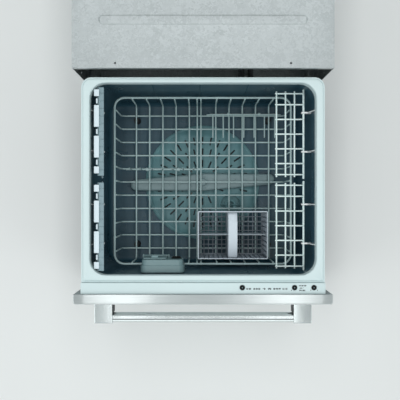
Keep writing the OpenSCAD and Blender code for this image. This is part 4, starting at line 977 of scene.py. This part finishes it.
def tine_row_shapes(mid, y, folded):
    """A hinge wire with seven tines, upright or folded to the front, each drawn to a round tip."""
    shapes = [rod([(mid - 92, y, TINE_Z), (mid + 92, y, TINE_Z)], 2, (0, 0, 1), 12)]
    tine = [(0, -1.2), (1.8, -1.2), (1.8, 60), (1.75, 61.6), (1.3, 62.8), (0.6, 63.4), (0, 63.5)]
    points, faces = lathe(tine, steps=10)
    if folded:
        points = np.column_stack([points[:, 0], -points[:, 2], points[:, 1]])
    return shapes + [moved((points, faces), mid - 84 + 28 * k, y, TINE_Z) for k in range(7)]


def rack_pieces():
    """The base rack with the eyes that carry its tine rows, the rows, and the rack's feet."""
    shapes = rack_wires()
    eye = [(2.15, -3.5), (4.1, -3.5), (4.6, -3), (4.6, 3), (4.1, 3.5), (2.15, 3.5)]
    for mid, y, folded in TINE_ROWS.values():
        shapes.append(rod([(mid - 100, y, RACK_Z), (mid + 100, y, RACK_Z)], WIRE_R, (0, 0, 1)))
        for x in (mid - 42, mid + 42):
            shapes.append(lathe(eye, (x, y, TINE_Z), axis=0, steps=24, loop=True))
            shapes.append(soft_box((x - 3.4, y - 1.5, RACK_Z), (x + 3.4, y + 1.5, TINE_Z - 3), 0.5))
    build("rack_wires", shapes, "rack_coating", ["base_rack", "rack_sides"])
    build("rack_rim_wire", [rack_rim()], "rack_coating")
    for name, (mid, y, folded) in TINE_ROWS.items():
        build(name + "_tines", tine_row_shapes(mid, y, folded), "rack_coating", [name], body=name)
    foot = [(0, 0), (9, 0), (9, 2), (7.6, 4), (7, 29), (6.2, 31.6), (0, 31.7)]
    feet = [lathe(foot, (x, TUB_Y + y, FLOOR_Z), steps=24) for x in (-180, 180) for y in (-170, 170)]
    build("rack_feet_pads", feet, "seal_rubber", ["rack_feet"])


def lattice(width, height, columns, rows):
    """A moulded lattice plate: equal square-cornered openings between slim bars and a broader edge."""
    edge, bar, thick = 5.0, 2.2, 2.0
    pitch_x, pitch_y = (width - 2 * edge + bar) / columns, (height - 2 * edge + bar) / rows

    def opening(i, j):
        at = np.array([edge + (i + 0.5) * pitch_x - bar / 2, edge + (j + 0.5) * pitch_y - bar / 2])
        return lambda inset: ring_rect(pitch_x - bar - 2 * inset, pitch_y - bar - 2 * inset, 0.9, 1, 1) + at

    def outline(inset):
        return ring_rect(width - 2 * inset, height - 2 * inset, 0.8, 1, 1) + np.array([width, height]) / 2

    return pierced(outline, [opening(i, j) for i in range(columns) for j in range(rows)], 0, thick, 0.25)


def carry_band(mid, y_mid, z, wide, depth):
    """The basket's carry band: a flat section with chamfered edges, carried along half an ellipse."""
    section = ((-1, 0.12), (-0.96, 0.0), (0.96, 0.0), (1, 0.12),
               (1, 0.88), (0.96, 1.0), (-0.96, 1.0), (-1, 0.88))
    rings = []
    for a in np.linspace(0.02, math.pi - 0.02, 33):
        outer = np.array([-math.cos(a) * (depth / 2 - 1.2), math.sin(a) * depth * 0.17])
        inner = np.array([-math.cos(a) * (depth / 2 - 4.2), math.sin(a) * (depth * 0.16 - 2)])
        between = [(side, *(outer + (inner - outer) * share)) for side, share in section]
        rings.append([(mid + side * wide / 2, y_mid + y, z + up) for side, y, up in between])
    return skin(rings)


def basket_pieces():
    """The cutlery basket: five lattice plates, a rolled top edge, and its dividers under the carry band."""
    width, depth, height = BASKET
    x0, y0, z0 = BASKET_AT
    shapes = [moved(lattice(width, depth, 14, 9), x0, y0, z0)]
    for y in (y0, y0 + depth - 2):
        shapes.append(laid(lattice(width, height, 14, 6), "xzy", (x0, y, z0)))
    for x in (x0, x0 + width - 2):
        shapes.append(laid(lattice(depth, height, 9, 6), "yzx", (x, y0, z0)))
    build("basket_lattice", shapes, "basket_plastic", ["cutlery_basket"])
    mid, y_mid = x0 + width / 2, y0 + depth / 2
    ring = ring_rect(width - 1.6, depth - 1.6, 1.2, 3, 1) + np.array([mid, y_mid])
    edge = rod(level(ring, z0 + height - 1.2), 1.5, (0, 0, 1), 8, closed=True)
    build("basket_top_edge", [edge], "basket_edge")
    band, low = 21.0, z0 + 2
    inside = [soft_box((x - 0.8, y0 + 2, low), (x + 0.8, y0 + depth - 2, z0 + height - 14), 0.5)
              for x in (mid - band / 2, mid + band / 2)]
    for start, end in ((x0 + 2, mid - band / 2 - 0.5), (mid + band / 2 + 0.5, x0 + width - 2)):
        inside.append(soft_box((start, y_mid - 0.8, low), (end, y_mid + 0.8, z0 + height - 24), 0.5))
    inside.append(carry_band(mid, y_mid, z0 + height - 14.2, band + 1.4, depth))
    build("basket_band", inside, "basket_edge", ["basket_dividers"])


# Along a cup rack from its front end: its two clips, a clip's thickness, and where its end tabs start
CLIP_AT = (64.62, 159.77)
CLIP_LEN = 4.0
TAB_START = 9.33


def clip_shape(v):
    """A pivot clip: a rounded plate across the machine, with the rod's bore through it."""
    x0, x1 = CUP_X - 5.5, MOUTH_W / 2 + TUB_CLEAR - draft_at(CUP_Z - 8) - 0.3
    z0, z1 = CUP_Z - 8, CUP_Z + 5.5

    def outline(inset):
        return ring_rect(x1 - x0 - 2 * inset, z1 - z0 - 2 * inset, 3 - inset, 4, 1) \
            + np.array([(x0 + x1) / 2, (z0 + z1) / 2])

    bore = [lambda inset: ring_circle(2.65 - inset, 20, (CUP_X, CUP_Z))]
    y = DRAWER_Y + v
    arm_z = np.array([CUP_Z + 3, RIM_Z - 31, RIM_Z - 26])
    arm = np.column_stack([MOUTH_W / 2 + TUB_CLEAR - draft_at(arm_z) - 2.0, np.full(3, y), arm_z])
    arm[0, 0] = CUP_X + 9
    return joined([laid(pierced(outline, bore, 0, CLIP_LEN, 0.5), "xzy", (0, y - CLIP_LEN / 2, 0)),
                   rod(rounded(arm, 3.0), 1.5, (0, 1, 0))])


def comb_shapes(v):
    """Moulded comb folded up against the left wall: its back and ribbed shelf, then its tabs."""
    pitch, y = CUP_LEN / 6, DRAWER_Y + v
    x, z = -CUP_X, CUP_Z
    root, broad, narrow = 11.0, pitch * 0.71, pitch * 0.34
    top, end = z + 66.0, CUP_LEN - TAB_START

    def bar(across, along, heights, soft):
        """A softened block between two places each way, across and along measured from the comb's rod."""
        low, high = zip(across, along, heights)
        return soft_box(np.array(low) + [x, y, 0], np.array(high) + [x, y, 0], soft)

    back = [rod([(x, y + 1.5, z), (x, y + CUP_LEN - 1.5, z)], 2.5, (0, 0, 1), 16)]
    back.append(bar((-2, 2), (4, CUP_LEN - 4), (z + root, z + root + 10), 0.8))
    back.append(bar((-1.5, 1.5), (4.2, CUP_LEN - 4.2), (z + root + 1, top - 5), 0.6))
    back.append(bar((-1.5, 13.5), (4, CUP_LEN - 4), (top - 8, top - 5), 1.1))
    for mid in np.arange(1, 12) * pitch / 2:
        back.append(bar((0, 11), (mid - 1, mid + 1), (top - 22, top - 7), 0.6))
        back.append(bar((1, 13), (mid - 0.9, mid + 0.9), (top - 5.5, top - 4.2), 0.5))
    for mid in np.array([0.6, 2.4, 3.6, 5.4]) * pitch:
        back.append(bar((-1.5, 1.5), (mid - 4, mid + 4), (z, z + root + 2), 0.7))
    tabs = []
    for k in range(4):
        low, high = max(2 * k * pitch - broad, TAB_START), min(2 * k * pitch + broad, end)
        mid = (low + high) / 2
        tabs.append(bar((-9, 3), (low, high), (top - 3, top), 1.0))
        tabs.append(bar((-1.5, 1.5), (low + 0.3, high - 0.3), (top - 6, top - 1), 0.5))
        tabs.append(bar((-7, 0), (mid - 1, mid + 1), (z + root + 14, top - 1.2), 0.5))
    for mid in np.array([1, 3, 5]) * pitch:
        tabs.append(bar((-5, 0), (mid - narrow / 2, mid + narrow / 2), (top - 8, top - 5.1), 0.8))
    return back, tabs


def wire_shelf_shapes(v):
    """Wire cup shelf lying down: a hinge rod, three long wires and seven cross wires welded on top."""
    pitch, y, x, z = CUP_LEN / 6, DRAWER_Y + v, CUP_X, CUP_Z
    shapes = [rod([(x, y, z), (x, y + CUP_LEN, z)], 2.5, (0, 0, 1), 16)]
    for k in (1, 2, 3):
        shapes.append(rod([(x - 22 * k, y + 4, z), (x - 22 * k, y + CUP_LEN - 4, z)], 2.0, (0, 0, 1), 12))
    for k in range(7):
        at = y + min(max(k * pitch, 9), CUP_LEN - 9)
        shapes.append(rod([(x - 69, at, z + 2.9), (x, at, z + 2.9)], 1.8, (0, 0, 1), 12))
    return shapes


def cup_rack_pieces():
    """The pivot clips of both sides, the two combs and the two wire shelves."""
    clips = []
    for v in CUP_V:
        for at in CLIP_AT:
            clip = clip_shape(v + at)
            clips += [clip, mirrored(clip)]
    build("pivot_clips", clips, "clip_white", ["rack_clips"])
    for place, v in zip(("front", "rear"), CUP_V):
        left, right = f"left_{place}_cup_rack", f"right_{place}_cup_rack"
        back, tabs = comb_shapes(v)
        # The comb's back and shelf are the same acetal as its tabs, drawn darker as painted shade
        build(left + "_comb", back, "comb_painted_shade", [left], body=left)
        build(left + "_tabs", tabs, "comb_plastic", body=left)
        # The shelf wire takes a paler copy of the rack's coating as painted light
        build(right + "_shelf", wire_shelf_shapes(v), "cup_wire_painted_light", [right], body=right)


# ---------------------------------------------------------------- chassis and services


def hose_pieces():
    """Bellows hoses: the radius swings by the depth of a rib once in each pitch along the hose."""
    low, high = corners("link_hoses")
    y = np.arange(low[1], high[1] + 0.01, 1.5)
    y[-1] = high[1]
    rib = chosen("hose_rib")
    shapes = []
    for x in HOSE_X:
        outer = HOSE_R - rib + rib * np.sin((y - low[1]) * 2 * math.pi / 7.5)
        profile = [(r, d) for r, d in zip(outer, y)] + [(6.5, high[1]), (6.5, low[1])]
        shapes.append(lathe(profile, (x, 0, HOSE_Z), axis=1, steps=20, loop=True))
    hoses = build("bellows_hoses", shapes, "hose_rubber", ["link_hoses"], body=None)
    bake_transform(hoses)


SHEET = 1.2


def chassis_pieces():
    """Side, top and back sheets with their pressed beads, fixing holes and rivets."""
    low, high = corners("right_side_panel")
    front, rear, foot, roof = low[1], high[1], low[2], high[2]
    span, tall, half = rear - front, roof - foot, high[0]
    bead = chosen("bead")

    def edge(width, height, x, y):
        return ring_rect(width, height, 0.6, 2, 1) + [x, y]

    middle = ((front + rear) / 2, (foot + roof) / 2)
    beads = [oval(middle[0], z, span - 80, 20, 9.5) for z in (FLOOR_Z - 8, RIM_Z - 70)]
    holes = [oval(front + 12, 120 + 180 * k, 5, 5, 2.5) for k in (0, 1)]
    side = laid(pressed(edge(span, tall, *middle), beads, holes, SHEET, bead), "yzx", (half, 0, 0))
    heads = [rivet(half, y, z, "x") for y in np.linspace(front + 30, rear - 20, 6)
             for z in (foot + 9, roof - 7)]
    heads += [rivet(half, rear - 9, z, "x") for z in np.linspace(foot + 50, roof - 50, 4)]
    build("right_side_sheet", [side] + heads, "chassis_steel", ["right_side_panel"], body="chassis")
    build("left_side_sheet", [mirrored(shape) for shape in [side] + heads], "chassis_steel",
          ["left_side_panel"], body="chassis")
    beads = [oval(0, front + u, 2 * half - 120, 24, 10) for u in range(110, int(span) - 99, 110)]
    holes = [oval(x, front + 11, 5, 5, 2.5) for x in (-200, 200)]
    top = moved(pressed(edge(2 * half, span, 0, middle[0]), beads, holes, SHEET, bead - 0.2),
                z=CHASSIS_HIGH[2])
    build("top_sheet", [top], "chassis_steel", ["top_panel"], body="chassis")
    low, high = corners("back_panel")
    beads = [oval(x, (low[2] + high[2]) / 2 + 44, 30, high[2] - low[2] - 150, 10) for x in (-120, 0, 120)]
    holes = [oval(x, SERVICE_Z, 2 * r, 2 * r, r) for x, r in ((INLET_X, 17), (DRAIN_X, 13), (GLAND_X, 11))]
    back = pressed(edge(high[0] - low[0], high[2] - low[2], 0, (low[2] + high[2]) / 2), beads, holes, SHEET,
                   bead - 0.4)
    heads = [rivet(x, rear, z, "y") for x in np.linspace(low[0] + 25, high[0] - 25, 6)
             for z in (low[2] + 8, high[2] - 8)]
    build("back_sheet", [laid(back, "xzy", (0, high[1], 0))] + heads, "chassis_steel", ["back_panel"],
          body="chassis")


def inlet_tube(rear):
    """Threaded inlet: the radius climbs and falls once a pitch and turns with the angle, so it winds."""
    t = np.arange(40) * 2 * math.pi / 40
    along = np.arange(0, 20.01, 0.65)[:, None]
    ridge = 12.6 + 0.6 * np.sin(2 * math.pi * along / 2.6 - t)
    circle = np.stack([np.sin(t), 0 * t, np.cos(t)], -1)
    at = np.array([INLET_X, rear, SERVICE_Z])
    thread = np.stack([ridge * np.sin(t), along + 0 * t, ridge * np.cos(t)], -1) + at - [0, 22.5, 0]
    lip, deep = circle * 10.2 + at - [0, 2.3, 0], circle * 10.2 + at - [0, 38, 0]
    return skin([circle * 12.6 + at - [0, 48, 0], *thread, lip, deep])


def service_pieces():
    """The inlet valve, drain spout and cable gland in the back, and the four levelling feet."""
    rear = CHASSIS_HIGH[1]
    collar = lathe([(12.4, 26), (15.8, 26), (16.2, 26.6), (16.2, 31.4), (15.8, 32), (12.4, 32)],
                   (INLET_X, rear - 48, SERVICE_Z), axis=1, loop=True)
    block = soft_box((INLET_X - 15, rear - 70, SERVICE_Z - 28.8),
                     (INLET_X + 15, rear - 40, SERVICE_Z + 21.2), 2)
    coil = lathe([(0, 0), (11, 0), (11, 33), (10, 34), (0, 34)], (INLET_X, rear - 56, SERVICE_Z))
    build("inlet_valve_body", [inlet_tube(rear), collar, block, coil], "valve_plastic", ["inlet_valve"],
          body="chassis")
    spout = lathe([(0, 0), (9.5, 0), (9.5, 26), (10.5, 26.2), (9.5, 31), (9.5, 32), (10.5, 32.2), (9.5, 37.4),
                   (9.4, 40), (7.5, 40), (7.5, 6), (0, 6)], (DRAIN_X, rear - 40, SERVICE_Z), axis=1)
    base = soft_box((DRAIN_X - 14, rear - 60, SERVICE_Z - 28.8),
                    (DRAIN_X + 14, rear - 36, SERVICE_Z + 15.2), 2)
    build("drain_spout", [spout, base], "dark_plastic", ["drain_outlet"], body="chassis")
    gland = lathe([(4.5, -12), (12.6, -12), (14, -10.6), (14, 0), (10.9, 0), (10.9, 1.1), (4.5, 1.1)],
                  (GLAND_X, rear - SHEET, SERVICE_Z), axis=1, steps=48, loop=True)
    build("gland_sleeve", [gland], "dark_plastic", ["cable_gland"], body="chassis")
    pad = [(0, 0), (15.4, 0), (16, 0.8), (13.2, 5.6), (12.4, 6), (0, 6)]
    nut = [(0, 5.5), (8, 5.5), (8, 15), (7.4, 15.8), (0, 15.8)]
    stem = [(0, 5), (4, 5), (4, 24), (3.2, 25.2), (0, 25.2)]
    feet = []
    for x in (-264.5, 264.5):
        for u in (17.0, 523.0):
            feet += [lathe(profile, (x, CHASSIS_LOW[1] + u, 0), steps=steps)
                     for profile, steps in ((pad, 48), (nut, 6), (stem, 20))]
    build("feet", feet, "screw_steel", ["levelling_feet"], body="chassis", sharp=30)


CAD_FINISH = {
    "outer_runners": "runner_steel", "left_middle_runner": "runner_steel",
    "right_middle_runner": "runner_steel", "inner_runners": "runner_steel", "lid_guides": "dark_plastic",
    "lid_actuators": "dark_plastic", "controller_box": "dark_plastic", "hose_bracket": "dark_plastic",
    "hose_elbow": "dark_plastic", "front_frame": "frame_grey", "lid": "lid_plastic",
    "lid_seal": "seal_rubber", "lid_rods": "screw_steel", "handle_screws": "screw_steel",
    "control_board": "board_green", "wash_rotor": "rotor_plastic", "heater_plate": "heater_steel",
}


def dress_cad():
    """Gives every CAD node that still shows its finish."""
    finish = finishes()
    for name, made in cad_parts.items():
        made.data.materials.clear()
        made.data.materials.append(finish[CAD_FINISH.get(name, "chassis_steel")])


# ---------------------------------------------------------------- stage


@finish_maker
def painted_floor(tree, place):
    """Matt floor paint, with the broad faint clouding of a rolled coat."""
    cloud = add(tree, "ShaderNodeTexNoise", {"Vector": place, "Scale": 1.4, "Detail": 2.0})
    ended(tree, {"Base Color": shaded(tree, cloud.outputs[0], linear("#dfe1e0"), linear("#e6e8e7")),
                 "Roughness": 0.75})


def stage_floor():
    """A square of floor under the machine."""
    mesh = bpy.data.meshes.new("floor")
    half = 6.0
    square = [(-half, -half, 0), (half, -half, 0), (half, half, 0), (-half, half, 0)]
    mesh.from_pydata(square, [], [(0, 1, 2, 3)])
    mesh.materials.append(painted_floor("pale_floor"))
    made = bpy.data.objects.new("floor", mesh)
    bpy.context.scene.collection.objects.link(made)


def soft_lamp(name, place, target, size, power, tint=(1.0, 1.0, 1.0), reflected=True, lights=True):
    """An area lamp; one that isn't reflected only lights, and one that doesn't light only shows in gloss."""
    data = bpy.data.lights.new(name, "AREA")
    data.shape, data.size, data.size_y, data.energy, data.color = "RECTANGLE", *size, power, tint
    made = bpy.data.objects.new(name, data)
    made.location = place
    made.rotation_euler = (Vector(target) - Vector(place)).to_track_quat("-Z", "Y").to_euler()
    made.visible_glossy, made.visible_diffuse = reflected, lights
    bpy.context.scene.collection.objects.link(made)


# ---------------------------------------------------------------- settings


class DrawerSizes(bpy.types.PropertyGroup):
    """Sizes that only the surfaces have; the others come from the CAD frame."""

    bead: bpy.props.FloatProperty(
        name="Bead depth", description="Depth of the beads pressed into the chassis's side sheets",
        default=0.0024, min=0.001, max=0.004, unit="LENGTH")
    hose_rib: bpy.props.FloatProperty(
        name="Hose rib", description="Swing of a link hose's radius from rib to groove, each way",
        default=0.0007, min=0.0, max=0.0012, unit="LENGTH")
    numerals: bpy.props.FloatProperty(
        name="Numeral height", description="Size of the large numerals on the control strip",
        default=0.005, min=0.002, max=0.007, unit="LENGTH")


class DrawerColours(bpy.types.PropertyGroup):
    """Colours that a user would change."""

    rim: bpy.props.FloatVectorProperty(
        name="Rim and strip", description="Pale moulding round the tub", subtype="COLOR_GAMMA",
        default=(0.80, 0.87, 0.875), min=0, max=1)
    # The tub's own teal grey, darkened as painted shade for its shadowed inside
    tub: bpy.props.FloatVectorProperty(
        name="Tub", description="Dark moulding of the tub", subtype="COLOR_GAMMA",
        default=(0.20, 0.33, 0.39), min=0, max=1)
    steel: bpy.props.FloatVectorProperty(
        name="Front steel", description="Brushed sheet of the front", subtype="COLOR_GAMMA",
        default=(0.90, 0.92, 0.92), min=0, max=1)
    wire: bpy.props.FloatVectorProperty(
        name="Wire coating", description="Coating of the racks", subtype="COLOR_GAMMA",
        default=(0.76, 0.85, 0.85), min=0, max=1)
    basket: bpy.props.FloatVectorProperty(
        name="Cutlery basket", description="Moulding of the basket", subtype="COLOR_GAMMA",
        default=(0.80, 0.83, 0.88), min=0, max=1)
    comb: bpy.props.FloatVectorProperty(
        name="Cup combs", description="Moulding of the two combs", subtype="COLOR_GAMMA",
        default=(0.84, 0.89, 0.92), min=0, max=1)


class DrawerView(bpy.types.PropertyGroup):
    """Place and lens of the camera."""

    height: bpy.props.FloatProperty(
        name="Camera height", description="Height of the camera above the floor", default=1.792,
        unit="LENGTH")
    across: bpy.props.FloatProperty(
        name="Camera X", description="Where the camera stands across the machine", default=-0.007,
        unit="LENGTH")
    along: bpy.props.FloatProperty(
        name="Camera Y", description="Where the camera stands front to back", default=-0.280, unit="LENGTH")
    lens: bpy.props.FloatProperty(
        name="Lens", description="Focal length on a 36 mm sensor", default=54.75, unit="CAMERA")


def operator(key, label, text, work):
    """An operator class for one group of pieces."""

    def execute(self, context):
        work()
        return {"FINISHED"}

    return type("DRAWER_OT_" + key, (bpy.types.Operator,), {
        "__doc__": text, "bl_idname": "drawer." + key, "bl_label": label, "execute": execute,
    })


class DRAWER_OT_stage(bpy.types.Operator):
    """Lay the floor, set the lamps and the world, and place the camera"""

    bl_idname = "drawer.stage"
    bl_label = "Stage"

    def execute(self, context):
        scene = context.scene
        settings = scene.drawer_view
        stage_floor()
        for side in (-1, 1):
            aim = (0.2 * side, -0.1, 0.3)
            soft_lamp("ceiling", (0.52 * side, -0.1, 2.9), aim, (2.8, 0.5), 18, reflected=False)
            soft_lamp("softbox", (0.53 * side, -0.1, 2.9), aim, (3.2, 0.3), 6.0, lights=False)
        soft_lamp("front_card", (0, -2.6, 0.7), (0, -0.6, 0.35), (2.4, 0.7), 9, lights=False)
        soft_lamp("rear_card", (0, 1.6, 1.7), (0, -0.6, 0.35), (2.4, 0.9), 9, lights=False)
        soft_lamp("window_left", (-2.3, -1.2, 1.7), (0, -0.3, 0.3), (1.4, 1.4), 16, (0.96, 0.99, 1.0))
        soft_lamp("window_right", (2.1, -1.6, 1.8), (0, -0.3, 0.3), (1.2, 1.2), 10, (0.96, 0.99, 1.0))
        world = bpy.data.worlds.new("studio")
        scene.world = world
        world.use_nodes = True
        tree = world.node_tree
        tree.nodes.clear()
        light = add(tree, "ShaderNodeBackground", {"Color": linear("#eaf0f1"), "Strength": 0.6})
        add(tree, "ShaderNodeOutputWorld", {"Surface": light.outputs[0]})
        data = bpy.data.cameras.new("camera")
        data.lens, data.sensor_width = settings.lens, 36.0
        camera = bpy.data.objects.new("camera", data)
        camera.location = (settings.across, settings.along, settings.height)
        scene.collection.objects.link(camera)
        scene.camera = camera
        scene.view_settings.view_transform = "Standard"
        return {"FINISHED"}


PIECES = [
    ("chassis", "Chassis", "Give the CAD parts that still show their finishes", dress_cad),
    ("sheets", "Chassis sheets", "Build the side, top and back sheets", chassis_pieces),
    ("services", "Feet and connections", "Build the feet, inlet, drain and cable gland", service_pieces),
    ("hoses", "Hoses", "Build the bellows hoses between chassis and drawer", hose_pieces),
    ("front", "Front", "Build the steel front and its handle", front_pieces),
    ("strip", "Control strip", "Build the control strip, its buttons and its marks", strip_pieces),
    ("tub", "Tub", "Build the tub and its rim", tub_pieces),
    ("wash", "Wash system", "Build the spray arm, filters, motor and pump", wash_pieces),
    ("dispenser", "Dispenser", "Build the detergent dispenser", dispenser_pieces),
    ("racks", "Base rack", "Build the base rack and its tines", rack_pieces),
    ("basket", "Cutlery basket", "Build the cutlery basket", basket_pieces),
    ("cup_racks", "Cup racks", "Build the cup racks and their clips", cup_rack_pieces),
]


class DRAWER_PT_pieces(bpy.types.Panel):
    """Lists the settings and the pieces"""

    bl_idname = "DRAWER_PT_pieces"
    bl_label = "Dishwasher drawer"
    bl_space_type = "VIEW_3D"
    bl_region_type = "UI"
    bl_category = "Drawer"

    def draw(self, context):
        for name in GROUPS:
            group = getattr(context.scene, name)
            for key in group.__annotations__:
                self.layout.prop(group, key)
        self.layout.operator(DRAWER_OT_stage.bl_idname)
        for row in PIECES:
            self.layout.operator("drawer." + row[0])


GROUPS = {"drawer_sizes": DrawerSizes, "drawer_colours": DrawerColours, "drawer_view": DrawerView}
CLASSES = [*GROUPS.values(), DRAWER_OT_stage, *(operator(*row) for row in PIECES), DRAWER_PT_pieces]


def register():
    """Makes the classes known, and gives the scene its settings."""
    for each in CLASSES:
        bpy.utils.register_class(each)
    for name, group in GROUPS.items():
        setattr(bpy.types.Scene, name, bpy.props.PointerProperty(type=group))


def unregister():
    """Takes away what register gave."""
    for name in GROUPS:
        delattr(bpy.types.Scene, name)
    for each in reversed(CLASSES):
        bpy.utils.unregister_class(each)


def main():
    """Builds everything in order and writes down the CAD box and the visual model's box."""
    register()
    bpy.ops.drawer.stage()
    for row in PIECES:
        getattr(bpy.ops.drawer, row[0])()


if __name__ == "__main__":
    main()
